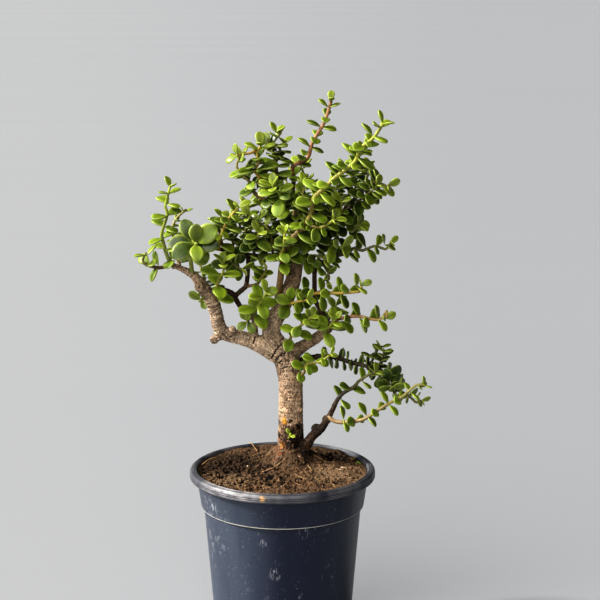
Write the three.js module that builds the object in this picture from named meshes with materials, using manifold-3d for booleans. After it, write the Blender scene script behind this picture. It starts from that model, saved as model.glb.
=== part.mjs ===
// A jade bonsai: a small succulent tree with a stout, forked trunk and fleshy oval leaves in crossed
// pairs, standing in soil in a plain round nursery pot.
//
// Millimetres, +Z up. The origin is the centre of the pot's flat underside, -Y is the tree's front.
// The trunk, its limbs and the old twigs are one body of wood. Each leafy shoot is a body of its own,
// seated on the wood with a hairline gap. Leaves grow by one rule, and the only chance is seeded.
import * as THREE from "three";
import { mergeVertices } from "three/addons/utils/BufferGeometryUtils.js";
import Module from "manifold-3d";

const wasm = await Module();
wasm.setup();

// ---------------------------------------------------------------- driving dimensions
const SEAT_GAP = 0.35; // left between two bodies that touch
const SLIVER = 0.02; // edges shorter than this are closed up
const SAME_POINT = 1e-4; // corners nearer than this are one

const POT_HEIGHT = 178;
const POT_BASE_RADIUS = 65;
const POT_BODY_RADIUS = 76.4; // just under the ledge
const POT_LEDGE_HEIGHT = 141;
const POT_LEDGE = 2.8; // how far the ledge, and the lip's rounding, stand out
const POT_BAND_RADIUS = 83; // just under the lip
const POT_LIP_RADIUS = 90;
const POT_LIP_DEPTH = 9.5;
const POT_MOUTH_RADIUS = 83.2;
const POT_WALL = 2.2;
const POT_FLOOR = 4;
const POT_SIDES = 32;
const DRAIN_HOLES = 6;
const DRAIN_RADIUS = 4.5;
const DRAIN_SIDES = 6;
const DRAIN_CIRCLE = 42;

const SOIL_EDGE = 174.5; // height of the soil along the wall, half-way between front and back
const SOIL_SLOPE = 0.03; // its rise towards the back
const SOIL_SIDES = 24;
const SOIL_RINGS = [64, 44, 22]; // radii of the rings between the wall and the centre
const TRUNK_FOOT = [8, 25]; // where the trunk stands in the pot
const MOUND_HEIGHT = 18;
const MOUND_SPREAD = 26;
const LUMPS = { height: 0.9, x: 9, y: 11 }; // shallow lumps, and their lengths along X and Y
const SMALL_LUMPS = { height: 0.6, x: 5, y: 6 };

const TRUNK_SIDES = 9;
const LIMB_SIDES = 7;
const TWIG_SIDES = 5;
const STEM_SIDES = 4;
const TRUNK_STEP = 22; // lengths of the straight pieces that a bent tube is made of
const LIMB_STEP = 16;
const TWIG_STEP = 19;
const STEM_STEP = 25;
const FINE_STEP = 2; // a route is smoothed in such steps before it is cut into longer ones
const LEVEL_SHARE = 0.8; // a route whose direction has this much of Y starts with its side up

const LEAF_WIDTH = 0.74; // of its length
const LEAF_THICKNESS = 0.3; // of its length
const LEAF_ARCH = 0.17; // how far the tip bends down, of its length
const LEAF_STATIONS = [0, 0.55, 0.97]; // along the leaf, from its sunk root to its blunt tip
const LEAF_HALF_WIDTHS = [0, 1, 0.6]; // of half its width, at the stations
const LEAF_CREST = 0.62; // where along the leaf it is thickest
const LEAF_FREE_SHARE = 0.2; // nearer its root than this, a leaf may touch its stem
const LEAF_RISE = 14; // degrees above square to the stem
const LEAF_CROSS = 90; // degrees from pair to pair
const TIP_RISE = 40; // added for the last pair of a stem
const TIP_SHRINK = 0.32; // by how much the last pair is smaller
const TIP_GAP_SHRINK = 0.45; // and closer to the one before
const TIP_PAIRS = 2.2; // how many gaps from the tip that begins
const STEM_END = 0.8; // no leaf grows nearer the stem's end than this
const TIP_ROOM = 3.5; // a stem with more than this bare at its end gets one more pair there
const LIGHT = new THREE.Vector3(-0.15, -0.6, 0.8).normalize();
const LIGHT_PULL = 0.45; // how far a pair turns its upper faces to the light
const CHANCE = { size: 0.16, rise: 10, bearing: 16, lean: 14, mate: 0.12 }; // widths of the random spreads
const LEAF_CLEARANCE = 0.75; // between leaves of different shoots
const OWN_LEAF_CLEARANCE = 0.1; // between leaf pairs of one shoot
const STEM_CLEARANCE = 0.7; // between a leaf and another shoot's stem or the wood
const STEM_PIECE = 6; // length of the pieces that this is tried on
const FIRST_SEED = 101;
const SEED_STEP = 17; // from one shoot to the next

// ---------------------------------------------------------------- materials
const paint = (color, roughness) => new THREE.MeshStandardMaterial({ color, roughness, metalness: 0 });
const BARK = paint(0x9a8069, 0.9);
const LEAF = paint(0x4f7d2a, 0.45);
const SOIL = paint(0x5a4230, 1);
const PLASTIC = paint(0x23273a, 0.4);

// ---------------------------------------------------------------- the tree's plan
// Wood: each limb is a list of [x, y, z, radius].
const TRUNK = [
  [8, 25, 150, 14], [8, 25, 180, 15], [8, 25, 192, 13.5], [8, 25, 206, 12.6], [8, 25, 233, 11.9],
  [8, 25, 255, 11.7], [6, 25, 271, 12.3], [3, 25, 284, 12.5], [0, 25, 291, 9],
];
const LEFT_LIMB = [
  [4, 25, 280, 10], [-12, 24, 290, 9.6], [-26, 23, 297, 8.2], [-37, 22, 301, 7.2], [-48, 21, 304, 7],
  [-58, 20, 308, 7.3], [-62, 19, 316, 6.8], [-64, 18, 328, 6.5], [-68, 17, 340, 7], [-74, 15, 350, 6.8],
  [-78, 14, 356, 6.2], [-83, 12, 364, 4.4], [-91, 10, 370, 3.5], [-99, 8, 374, 2.8], [-109, 6, 379, 2.2],
];
const LEADER = [
  [2, 25, 281, 11], [-6, 25, 295, 10.3], [-11, 25, 306, 9.2], [-8, 26, 318, 8.8], [-2, 27, 329, 8.5],
  [4, 28, 341, 8.2], [9, 29, 353, 7.9], [12, 30, 365, 7.3], [14, 31, 379, 6.4], [16, 32, 391, 5.4],
  [17, 33, 404, 4.2],
];
const RIGHT_LIMB = [
  [4, 25, 281, 9], [14, 24, 289, 7], [22, 22, 295, 5.8], [30, 20, 300, 5.4], [37, 18, 306, 5.1],
  [44, 16, 312, 4.6], [50, 14, 319, 3.4],
];
const OLD_TWIGS = [
  // knobs under and on the left bend, and the burl above it
  [[-55, 20, 310, 5.5], [-65, 19, 302, 4.6]],
  [[-52, 19, 304, 4], [-48, 14, 311, 3.6]],
  [[-74, 15, 350, 5], [-79, 8, 355, 4.6]],
  // up from the right limb
  [[42, 17, 309, 3.4], [38, 20, 328, 2.8], [32, 22, 338, 2.6], [31, 24, 355, 2.5], [31, 26, 368, 2.3]],
  // the crooked stub on the left limb, and the twig from it
  [[-27, 23, 298, 4.5], [-27, 20, 318, 3], [-29, 19, 325, 2.8], [-35, 19, 329, 2.7], [-41, 19, 334, 2.6],
    [-45, 19, 341, 2.7], [-49, 19, 347, 3], [-58, 19, 350, 2.9]],
  [[-46, 19, 343, 2.4], [-40, 20, 349, 2.6], [-35, 21, 353, 2.5], [-33, 23, 370, 2.3], [-33, 24, 383, 2.2]],
  // from the leader: left, up to the left, and to the right
  [[11, 31, 375, 3.5], [-6, 29, 379, 2.8], [-34, 25, 383, 2.5], [-56, 18, 389, 2.2], [-65, 12, 392, 1.9]],
  [[16, 32, 395, 4.2], [9, 30, 410, 3.3], [3, 28, 423, 2.9], [-6, 25, 432, 2.5], [-14, 22, 438, 2.1]],
  [[14, 31, 381, 4], [29, 34, 391, 3.2], [44, 36, 405, 2.8], [58, 36, 422, 2.4], [69, 34, 435, 2]],
  // from the trunk's foot, and from below the fork
  [[15, 20, 176, 7], [27, 16, 202, 4.9], [37, 14, 212, 4.2], [43, 13, 221, 3.2], [48, 12, 231, 2.7],
    [52, 12, 239, 2.2]],
  [[12, 28, 274, 5.5], [25, 31, 279, 3.4], [36, 31, 281, 2.8]],
];
const SURFACE_ROOTS = [
  // [bearing in degrees, reach, radius where it leaves the trunk]
  [-62, 27, 5.5], [-125, 29, 5.5], [165, 27, 5.5], [80, 27, 5],
];
// A root's course, as shares of its reach, heights over the soil's edge and shares of its radius.
const ROOT_COURSE = [[0.1, 17, 1], [0.45, 12, 1], [0.75, 6, 0.8], [1, -4, 0.5]];

// Leafy shoots. A stem's route is a list of [x, y, z]; `from` and `to` are its radii, `leaf` the length of
// its full-grown leaves, `gap` the spacing of its leaf pairs, `turn` the bearing of the first pair in
// degrees round the stem, `cross` the turn from pair to pair where it isn't square, and `bare` the
// leafless length at its foot.
const SHOOTS = [
  { name: "left_upright", stems: [
    { route: [[-103, 8, 374], [-109, 7, 384], [-113, 4, 400], [-114, 2, 408], [-108, 0, 427],
      [-110, -1, 434], [-105, -2, 453]],
      from: 2, to: 1.2, leaf: 18.5, gap: 11.5, turn: 130, bare: 8 },
  ] },
  { name: "left_tip", stems: [
    { route: [[-107, 6, 377], [-117, 1, 375], [-132, 0, 380], [-129, -2, 390]],
      from: 1.9, to: 1.2, leaf: 19.5, gap: 11, turn: 100, bare: 11 },
  ] },
  { name: "left_rosette", stems: [
    { route: [[-86, 11, 366], [-87, -2, 392], [-83, -18, 404], [-79, -34, 404]],
      from: 2.2, to: 1.5, leaf: 26, gap: 4.5, turn: 35, bare: 49.1, cross: 50 },
  ] },
  { name: "vigorous", stems: [
    { route: [[-5, 27, 337], [-2, 18, 359], [0, 13, 376], [4, 8, 390], [8, 3, 401], [20, -2, 415],
      [27, -8, 427], [30, -14, 444], [40, -18, 454], [49, -22, 464], [67, -26, 479], [73, -29, 493],
      [84, -31, 502], [93, -33, 516]],
      from: 3.3, to: 1.5, leaf: 20, gap: 12.5, turn: 50, bare: 55 },
    { route: [[17, -3, 412], [29, -7, 416], [37, -12, 416], [50, -18, 425]],
      from: 1.8, to: 1.2, leaf: 17, gap: 10, turn: 125, bare: 7 },
    { route: [[0, 13, 376], [-2, 2, 387], [1, -6, 393], [3, -14, 412]],
      from: 1.8, to: 1.2, leaf: 17, gap: 9.5, turn: 20, bare: 4 },
  ] },
  { name: "tall", stems: [
    { route: [[17, 33, 398], [16, 36, 420], [10, 38, 437], [11, 38, 453], [10, 36, 467], [24, 34, 475],
      [29, 32, 491], [40, 30, 510], [47, 28, 532], [46, 27, 531]],
      from: 2.5, to: 1.4, leaf: 15.5, gap: 11, turn: 90, bare: 28 },
  ] },
  { name: "lower_front", stems: [
    { route: [[12, 26, 346], [21, 16, 346], [38, 9, 349], [55, 3, 350], [74, -2, 353], [75, -4, 359]],
      from: 1.9, to: 1.2, leaf: 17, gap: 9.5, turn: 75, bare: 12 },
  ] },
  { name: "lower_right", stems: [
    { route: [[47, 15, 316], [52, 12, 322], [56, 9, 324], [72, 6, 327], [83, 3, 325], [94, 0, 325],
      [100, -2, 334], [99, -4, 327]],
      from: 1.9, to: 1.1, leaf: 16, gap: 9.5, turn: 85, bare: 12 },
  ] },
  { name: "side_shoot", stems: [
    { route: [[31, 26, 365], [33, 26, 372], [38, 27, 375], [45, 26, 380], [63, 24, 385], [69, 22, 391],
      [76, 20, 388], [89, 18, 393], [99, 16, 390], [103, 14, 396]],
      from: 2, to: 1.1, leaf: 16, gap: 10, turn: 15, bare: 8 },
    { route: [[36, 26, 374], [44, 18, 371], [43, 12, 357]],
      from: 1.4, to: 1, leaf: 14, gap: 10, turn: 5, bare: 5 },
  ] },
  { name: "right_top", stems: [
    { route: [[66, 34, 431], [77, 32, 447], [84, 30, 453], [96, 28, 451], [105, 26, 446], [101, 24, 450]],
      from: 1.9, to: 1.1, leaf: 20, gap: 10.5, turn: 10, bare: 8 },
    { route: [[77, 32, 447], [81, 33, 457], [85, 34, 466], [83, 34, 469]],
      from: 1.5, to: 1, leaf: 16.5, gap: 10, turn: 35, bare: 5 },
    { route: [[66, 34, 431], [64, 39, 446], [68, 42, 460], [76, 44, 480]],
      from: 1.5, to: 1, leaf: 19, gap: 8, turn: 30, bare: 10 },
  ] },
  { name: "arch", stems: [
    { route: [[33, 31, 281], [47, 31, 281], [58, 31, 278], [68, 30, 275], [81, 29, 272], [90, 28, 271],
      [95, 27, 269], [107, 26, 259], [111, 24, 250], [123, 22, 244], [131, 20, 237], [136, 18, 240]],
      from: 2.5, to: 1.1, leaf: 14, gap: 10, turn: 120, bare: 11 },
    { route: [[83, 28, 269], [88, 30, 278], [92, 31, 288], [97, 32, 291]],
      from: 1.3, to: 0.9, leaf: 15.5, gap: 7.5, turn: 20, bare: 4 },
    { route: [[93, 27, 267], [97, 24, 278], [99, 22, 291], [98, 21, 291]],
      from: 1.3, to: 0.9, leaf: 15.5, gap: 6.5, turn: 135, bare: 4 },
    { route: [[101, 26, 265], [103, 18, 259], [107, 13, 253], [108, 9, 250]],
      from: 1.3, to: 1, leaf: 17, gap: 7, turn: 85, bare: 3 },
  ] },
  { name: "low_rise", stems: [
    { route: [[50, 12, 236], [57, 10, 248], [70, 8, 257], [73, 6, 262], [86, 5, 271], [90, 4, 271]],
      from: 2.2, to: 1.1, leaf: 16, gap: 14.5, turn: 45, bare: 10 },
  ] },
  { name: "low_spray", stems: [
    { route: [[45, 12, 226], [49, 10, 222], [59, 7, 221], [74, 3, 224], [82, 0, 228], [95, -3, 238],
      [110, -6, 248], [115, -9, 251], [128, -11, 263], [136, -12, 263]],
      from: 2.1, to: 1.2, leaf: 14, gap: 12.5, turn: 85, bare: 15 },
  ] },
  { name: "upper_left_out", stems: [
    { route: [[-13, 22, 437], [-22, 20, 440], [-28, 17, 447], [-30, 15, 454], [-34, 13, 459],
      [-43, 12, 470], [-39, 10, 480]],
      from: 1.9, to: 1.1, leaf: 18.5, gap: 11, turn: 95, bare: 16 },
  ] },
  { name: "upper_left_mid", stems: [
    { route: [[-8, 24, 433], [-15, 16, 447], [-22, 11, 461], [-26, 8, 467], [-21, 6, 476], [-24, 7, 482],
      [-20, 6, 491]],
      from: 1.8, to: 1.1, leaf: 20.5, gap: 10.5, turn: 165, bare: 10 },
    { route: [[-24, 8, 486], [-30, 3, 484], [-42, -1, 483]],
      from: 1.4, to: 1, leaf: 18.5, gap: 9.5, turn: 55, bare: 7 },
  ] },
  { name: "upper_right", stems: [
    { route: [[-1, 27, 427], [-6, 25, 442], [-5, 24, 460], [-6, 22, 471], [-9, 20, 490], [0, 18, 503],
      [-5, 17, 502]],
      from: 1.9, to: 1.1, leaf: 19, gap: 13, turn: 50, bare: 10 },
    { route: [[-7, 22, 472], [-2, 25, 481], [-2, 26, 488], [3, 27, 493]],
      from: 1.4, to: 1, leaf: 16, gap: 9.5, turn: 140, bare: 4 },
    { route: [[-6, 20, 485], [-12, 15, 491], [-13, 12, 497]],
      from: 1.3, to: 1, leaf: 19, gap: 6.5, turn: 100, bare: 3 },
  ] },
  { name: "centre_rosette", stems: [
    { route: [[2, 27, 423], [1, 12, 433], [0, 0, 443], [-9, -8, 455]],
      from: 1.7, to: 1.2, leaf: 20.5, gap: 8, turn: 100, bare: 8 },
  ] },
  { name: "left_crown_front", stems: [
    { route: [[-61, 15, 390], [-58, 8, 405], [-50, 5, 422], [-41, 3, 433]],
      from: 1.7, to: 1.1, leaf: 19, gap: 9.5, turn: 60, bare: 7 },
  ] },
  { name: "left_inner", stems: [
    { route: [[-97, 9, 372], [-102, 18, 389], [-105, 22, 409], [-101, 24, 419], [-92, 25, 427]],
      from: 1.7, to: 1.1, leaf: 13, gap: 14.5, turn: 115, bare: 6 },
  ] },
  { name: "left_riser", stems: [
    { route: [[-66, 17, 334], [-63, 8, 349], [-60, 3, 365], [-56, -1, 370], [-55, -4, 383]],
      from: 1.7, to: 1.1, leaf: 20.5, gap: 13, turn: 100, bare: 12 },
  ] },
  { name: "left_bud", stems: [
    { route: [[-74, 13, 345], [-79, 2, 342]],
      from: 1.5, to: 1.1, leaf: 17.5, gap: 5.5, turn: 55, bare: 9 },
  ] },
  { name: "stub_rosette", stems: [
    { route: [[-27, 20, 320], [-25, 10, 333], [-20, 3, 341], [-15, -3, 352]],
      from: 1.6, to: 1.2, leaf: 20.5, gap: 8.5, turn: 30, bare: 9 },
  ] },
  { name: "stub_cluster", stems: [
    { route: [[-35, 21, 353], [-25, 20, 355], [-21, 18, 360], [-15, 16, 372], [-20, 15, 379]],
      from: 1.6, to: 1.1, leaf: 20.5, gap: 9.5, turn: 0, bare: 11 },
  ] },
  { name: "stub_sprig", stems: [
    { route: [[-29, 19, 324], [-34, 12, 320], [-34, 6, 321]],
      from: 1.3, to: 1, leaf: 14.5, gap: 5, turn: 95, bare: 8 },
  ] },
  { name: "left_crown_a", stems: [
    { route: [[-38, 24, 384], [-35, 26, 397], [-35, 28, 415], [-31, 29, 434]],
      from: 1.4, to: 1, leaf: 19, gap: 10, turn: 40, bare: 6 },
  ] },
  { name: "left_crown_b", stems: [
    { route: [[-20, 27, 381], [-17, 29, 396], [-14, 31, 409], [-21, 33, 433]],
      from: 1.5, to: 1, leaf: 16, gap: 11.5, turn: 65, bare: 6 },
  ] },
  { name: "left_crown_low", stems: [
    { route: [[-49, 20, 387], [-49, 12, 379], [-37, 8, 371]],
      from: 1.4, to: 1, leaf: 20.5, gap: 7.5, turn: 165, bare: 3 },
  ] },
  { name: "left_crown_mid", stems: [
    { route: [[-27, 26, 383], [-27, 14, 393], [-23, 6, 401], [-22, 0, 409]],
      from: 1.5, to: 1.1, leaf: 20.5, gap: 7.5, turn: 40, bare: 10 },
  ] },
  { name: "knob_back", stems: [
    { route: [[-68, 18, 340], [-74, 34, 349], [-79, 46, 365], [-85, 54, 376]],
      from: 1.8, to: 1.1, leaf: 16.5, gap: 12.5, turn: 85, bare: 12 },
  ] },
  { name: "crotch_sprig", stems: [
    { route: [[4, 21, 290], [9, 8, 307], [20, 0, 321], [25, -9, 324], [27, -16, 331]],
      from: 1.6, to: 1.1, leaf: 17, gap: 10, turn: 170, bare: 18 },
  ] },
  { name: "limb_right_sprig", stems: [
    { route: [[38, 17, 307], [42, 6, 312], [51, -2, 326]],
      from: 1.5, to: 1.1, leaf: 18.5, gap: 8, turn: 85, bare: 3 },
  ] },
  { name: "lower_front_left", stems: [
    { route: [[2, 24, 337], [8, 10, 338], [11, 2, 341], [24, -5, 345]],
      from: 1.5, to: 1.1, leaf: 18, gap: 8.5, turn: 150, bare: 10 },
  ] },
  { name: "trunk_sprig", stems: [
    { route: [[14, 20, 265], [21, 8, 270], [23, 2, 280], [36, -6, 285], [47, -12, 294]],
      from: 1.5, to: 1, leaf: 13, gap: 9, turn: 20, bare: 9 },
  ] },
  { name: "right_top_low", stems: [
    { route: [[60, 36, 424], [70, 27, 432], [75, 20, 438], [91, 14, 452]],
      from: 1.4, to: 1, leaf: 17, gap: 7, turn: 30, bare: 7 },
  ] },
  { name: "right_mid_front", stems: [
    { route: [[44, 36, 405], [50, 24, 413], [56, 14, 423], [56, 6, 440]],
      from: 1.5, to: 1, leaf: 19, gap: 8.5, turn: 170, bare: 6 },
  ] },
  { name: "right_mid_low", stems: [
    { route: [[56, 36, 419], [62, 29, 411], [67, 24, 406], [74, 19, 414]],
      from: 1.4, to: 1, leaf: 20.5, gap: 8, turn: 15, bare: 7 },
  ] },
  { name: "right_mid_up", stems: [
    { route: [[49, 36, 410], [52, 42, 426], [55, 48, 440], [58, 52, 456], [60, 54, 466]],
      from: 1.6, to: 1, leaf: 18, gap: 14, turn: 135, bare: 7 },
  ] },
  { name: "centre_back", stems: [
    { route: [[38, 35, 400], [39, 44, 416], [33, 52, 433], [27, 57, 444], [17, 60, 465]],
      from: 1.6, to: 1, leaf: 20.5, gap: 13, turn: 10, bare: 7 },
  ] },
  { name: "centre_front_right", stems: [
    { route: [[17, 31, 392], [25, 17, 400], [31, 7, 409], [32, -1, 425]],
      from: 1.5, to: 1, leaf: 19.5, gap: 9.5, turn: 95, bare: 6 },
  ] },
  { name: "centre_front_low", stems: [
    { route: [[29, 34, 391], [37, 22, 395], [45, 14, 395], [58, 8, 393]],
      from: 1.5, to: 1, leaf: 20.5, gap: 8, turn: 140, bare: 5 },
  ] },
  { name: "right_mid_rise", stems: [
    { route: [[34, 35, 396], [40, 26, 413], [47, 20, 430], [53, 15, 457]],
      from: 1.6, to: 1, leaf: 20.5, gap: 10.5, turn: 25, bare: 6 },
  ] },
  { name: "crown_centre", stems: [
    { route: [[9, 30, 410], [12, 17, 421], [18, 8, 435], [21, 4, 455]],
      from: 1.5, to: 1, leaf: 17, gap: 10, turn: 45, bare: 4 },
  ] },
  { name: "base_sprout", stems: [
    { route: [[6, 14, 203], [7, 9, 206], [8, 6, 210]],
      from: 1.2, to: 1, leaf: 11, gap: 9, turn: 35, bare: 8.2 },
  ] },
  { name: "back_leader_low", stems: [
    { route: [[12, 33, 373], [7, 52, 383], [2, 68, 386], [6, 80, 393]],
      from: 1.8, to: 1.1, leaf: 20.5, gap: 13.5, turn: 135, bare: 5 },
  ] },
  { name: "back_right", stems: [
    { route: [[16, 33, 389], [25, 52, 401], [33, 68, 408], [39, 80, 418]],
      from: 1.8, to: 1.1, leaf: 15.5, gap: 16, turn: 150, bare: 10 },
  ] },
  { name: "back_top", stems: [
    { route: [[9, 31, 409], [11, 50, 418], [11, 64, 427], [3, 76, 448]],
      from: 1.8, to: 1.1, leaf: 20.5, gap: 21.5, turn: 95, bare: 6 },
  ] },
  { name: "back_left", stems: [
    { route: [[-13, 28, 380], [-21, 46, 388], [-30, 60, 395], [-35, 70, 407]],
      from: 1.7, to: 1.1, leaf: 20, gap: 12.5, turn: 65, bare: 9 },
  ] },
  { name: "back_low_right", stems: [
    { route: [[38, 18, 306], [43, 38, 314], [51, 52, 322], [52, 62, 325]],
      from: 1.8, to: 1.1, leaf: 20.5, gap: 11.5, turn: 75, bare: 12 },
  ] },
  { name: "right_crown_up", stems: [
    { route: [[58, 36, 422], [64, 44, 434], [66, 50, 450], [73, 54, 453]],
      from: 1.6, to: 1, leaf: 20.5, gap: 14.5, turn: 35, bare: 8 },
  ] },
  { name: "left_crown_back", stems: [
    { route: [[-56, 18, 389], [-60, 28, 402], [-61, 36, 414], [-59, 42, 419]],
      from: 1.6, to: 1, leaf: 19, gap: 10, turn: 80, bare: 10 },
  ] },
  { name: "centre_left_front", stems: [
    { route: [[-8, 29, 380], [-10, 18, 391], [-10, 10, 403], [-16, 4, 416]],
      from: 1.5, to: 1, leaf: 14, gap: 7.5, turn: 50, bare: 7 },
  ] },
  { name: "upper_left_low", stems: [
    { route: [[3, 28, 423], [-9, 20, 421], [-20, 14, 415], [-33, 8, 426]],
      from: 1.5, to: 1, leaf: 20.5, gap: 12, turn: 40, bare: 8 },
  ] },
  { name: "leader_right_low", stems: [
    { route: [[14, 31, 377], [24, 24, 381], [32, 17, 384], [42, 11, 381]],
      from: 1.5, to: 1, leaf: 17.5, gap: 11.5, turn: 75, bare: 12 },
  ] },
  { name: "left_crown_up", stems: [
    { route: [[-48, 20, 387], [-46, 16, 400], [-40, 14, 411], [-44, 12, 426]],
      from: 1.5, to: 1, leaf: 20.5, gap: 9.5, turn: 15, bare: 7 },
  ] },
];

// ---------------------------------------------------------------- small tools
const { clamp, degToRad, lerp, radToDeg } = THREE.MathUtils;
const FULL_TURN = 2 * Math.PI;
const HALF_TURN = 180; // in degrees
const vector = ([x, y, z]) => new THREE.Vector3(x, y, z);

// A seeded draw from -0.5 to 0.5, a linear congruential row that is the same each time.
function drawer(seed) {
  let state = seed;
  return () => {
    state = (state * 1664525 + 1013904223) % 2 ** 32;
    return state / 2 ** 32 - 0.5;
  };
}

// A value at `x` on the broken line through the points ([x, value]).
function valueOnLine(points, x) {
  let i = 1;
  while (i < points.length - 1 && points[i][0] < x) i++;
  const [[fromX, from], [toX, to]] = [points[i - 1], points[i]];
  return lerp(from, to, clamp((x - fromX) / (toX - fromX), 0, 1));
}

function toSolid(geometry) {
  const bare = geometry.clone();
  bare.deleteAttribute("normal");
  bare.deleteAttribute("uv");
  const merged = mergeVertices(bare, SAME_POINT);
  const mesh = new wasm.Mesh({
    numProp: 3,
    vertProperties: merged.attributes.position.array,
    triVerts: new Uint32Array(merged.index.array),
  });
  return new wasm.Manifold(mesh);
}

function toGeometry(solid) {
  const mesh = solid.getMesh();
  return new THREE.BufferGeometry()
    .setAttribute("position", new THREE.BufferAttribute(mesh.vertProperties, 3))
    .setIndex(new THREE.BufferAttribute(mesh.triVerts, 1));
}

function meshOf(name, solid, material) {
  const mesh = new THREE.Mesh(toGeometry(mainBody(solid)), material);
  mesh.name = name;
  return mesh;
}

// The largest body of a solid, without loose scraps and slivers that joins and cuts left.
function mainBody(solid) {
  const largest = solid.decompose().reduce((best, body) => (body.volume() > best.volume() ? body : best));
  return largest.setTolerance(SLIVER);
}

// ---------------------------------------------------------------- routes
// A smooth line through a route: Catmull-Rom, in steps of about `step`. Values past x, y, z, such as a
// radius, are carried along.
function smoothLine(route, step) {
  const line = [route[0]];
  for (let i = 0; i + 1 < route.length; i++) {
    const last = route.length - 1;
    const [a, b, c, d] = [i - 1, i, i + 1, i + 2].map((k) => route[clamp(k, 0, last)]);
    const pieces = Math.max(1, Math.round(vector(b).distanceTo(vector(c)) / step));
    for (let k = 1; k <= pieces; k++) {
      const t = k / pieces;
      line.push(b.map((_, j) => 0.5 * (2 * b[j] + (c[j] - a[j]) * t
        + (2 * a[j] - 5 * b[j] + 4 * c[j] - d[j]) * t ** 2
        + (3 * b[j] - a[j] - 3 * c[j] + d[j]) * t ** 3)));
    }
  }
  return line;
}

// A vector without its part along a unit vector, at unit length.
const squareTo = (unit, across) => across.clone().addScaledVector(unit, -across.dot(unit)).normalize();

// A line with its length so far, its direction and a side that turns with it without twisting.
function framedLine(line) {
  const frames = [];
  line.forEach((point, i) => {
    const at = vector(point);
    const [behind, ahead] = [i - 1, i + 1].map((k) => vector(line[clamp(k, 0, line.length - 1)]));
    const along = ahead.sub(behind).normalize();
    const before = frames[i - 1];
    const firstSide = Math.abs(along.y) < LEVEL_SHARE ? vector([0, 1, 0]) : vector([0, 0, 1]);
    const side = squareTo(along, before ? before.side : firstSide);
    const length = before ? before.length + at.distanceTo(before.at) : 0;
    frames.push({ at, along, side, length, radius: point[3] });
  });
  return frames;
}

function frameAt(frames, length) {
  let i = 1;
  while (i < frames.length - 1 && frames[i].length < length) i++;
  const [a, b] = [frames[i - 1], frames[i]];
  const t = clamp((length - a.length) / (b.length - a.length), 0, 1);
  const along = a.along.clone().lerp(b.along, t).normalize();
  const side = squareTo(along, a.side.clone().lerp(b.side, t));
  return { at: a.at.clone().lerp(b.at, t), along, side, radius: lerp(a.radius, b.radius, t) };
}

// A route as an even row of frames, about `step` apart.
function evenFrames(route, step) {
  const fine = framedLine(smoothLine(route, FINE_STEP));
  const total = fine[fine.length - 1].length;
  const rows = Math.max(2, Math.round(total / step));
  const points = Array.from({ length: rows + 1 }, (_, i) => {
    const { at, radius } = frameAt(fine, (total * i) / rows);
    return [at.x, at.y, at.z, radius];
  });
  return framedLine(points);
}

// The unit vector that points out of a stem at a bearing round it, in degrees.
function outward(frame, bearing) {
  const across = new THREE.Vector3().crossVectors(frame.along, frame.side);
  return frame.side.clone().multiplyScalar(Math.cos(degToRad(bearing)))
    .addScaledVector(across, Math.sin(degToRad(bearing)));
}

// A closed tapering tube: a cylinder bent along the route. `grow` makes it fatter and longer all round,
// and `roll` is the bearing of its first edge.
function tubeAlong({ route, sides, step }, grow = 0, roll = 0) {
  const frames = evenFrames(route, step);
  const last = frames.length - 1;
  const geometry = new THREE.CylinderGeometry(1, 1, 1, sides, last);
  const position = geometry.attributes.position;
  for (let i = 0; i < position.count; i++) {
    const [x, y, z] = [position.getX(i), position.getY(i), -position.getZ(i)];
    const row = Math.round((y + 0.5) * last);
    const frame = frames[row];
    const lengthen = row === 0 ? -grow : row === last ? grow : 0;
    const out = outward(frame, radToDeg(Math.atan2(z, x)) + roll);
    const place = frame.at.clone()
      .addScaledVector(out, Math.hypot(x, z) * (frame.radius + grow))
      .addScaledVector(frame.along, lengthen);
    position.setXYZ(i, place.x, place.y, place.z);
  }
  return toSolid(geometry);
}

// ---------------------------------------------------------------- pot
const POT_LIP_FOOT = POT_HEIGHT - POT_LIP_DEPTH;
// The inside of the pot's wall as [height, radius], from the floor up.
const POT_INSIDE = [
  [POT_FLOOR, POT_BASE_RADIUS - POT_WALL], [POT_LEDGE_HEIGHT, POT_BODY_RADIUS - POT_WALL],
  [POT_LEDGE_HEIGHT + POT_LEDGE, POT_BODY_RADIUS + POT_LEDGE - POT_WALL],
  [POT_LIP_FOOT, POT_BAND_RADIUS - POT_WALL], [POT_HEIGHT, POT_MOUTH_RADIUS],
];

// A solid turned about the Z axis from a profile of [radius, height].
function turned(profile, sides) {
  const points = profile.map(([r, z]) => new THREE.Vector2(r, z));
  return new THREE.LatheGeometry(points, sides).rotateX(FULL_TURN / 4);
}

function buildPot() {
  const shell = toSolid(turned([
    [0, 0], [POT_BASE_RADIUS, 0], [POT_BODY_RADIUS, POT_LEDGE_HEIGHT],
    [POT_BODY_RADIUS + POT_LEDGE, POT_LEDGE_HEIGHT + POT_LEDGE], [POT_BAND_RADIUS, POT_LIP_FOOT],
    [POT_LIP_RADIUS, POT_LIP_FOOT + POT_LEDGE], [POT_LIP_RADIUS, POT_HEIGHT - POT_LEDGE],
    [POT_LIP_RADIUS - POT_LEDGE, POT_HEIGHT], ...POT_INSIDE.toReversed().map(([z, r]) => [r, z]),
    [0, POT_FLOOR],
  ], POT_SIDES));
  const holes = Array.from({ length: DRAIN_HOLES }, (_, i) => {
    const bearing = ((i + 0.5) / DRAIN_HOLES) * FULL_TURN;
    return toSolid(new THREE.CylinderGeometry(DRAIN_RADIUS, DRAIN_RADIUS, 3 * POT_FLOOR, DRAIN_SIDES)
      .rotateX(FULL_TURN / 4)
      .translate(DRAIN_CIRCLE * Math.cos(bearing), DRAIN_CIRCLE * Math.sin(bearing), 0));
  });
  return shell.subtract(wasm.Manifold.union(holes));
}

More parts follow.
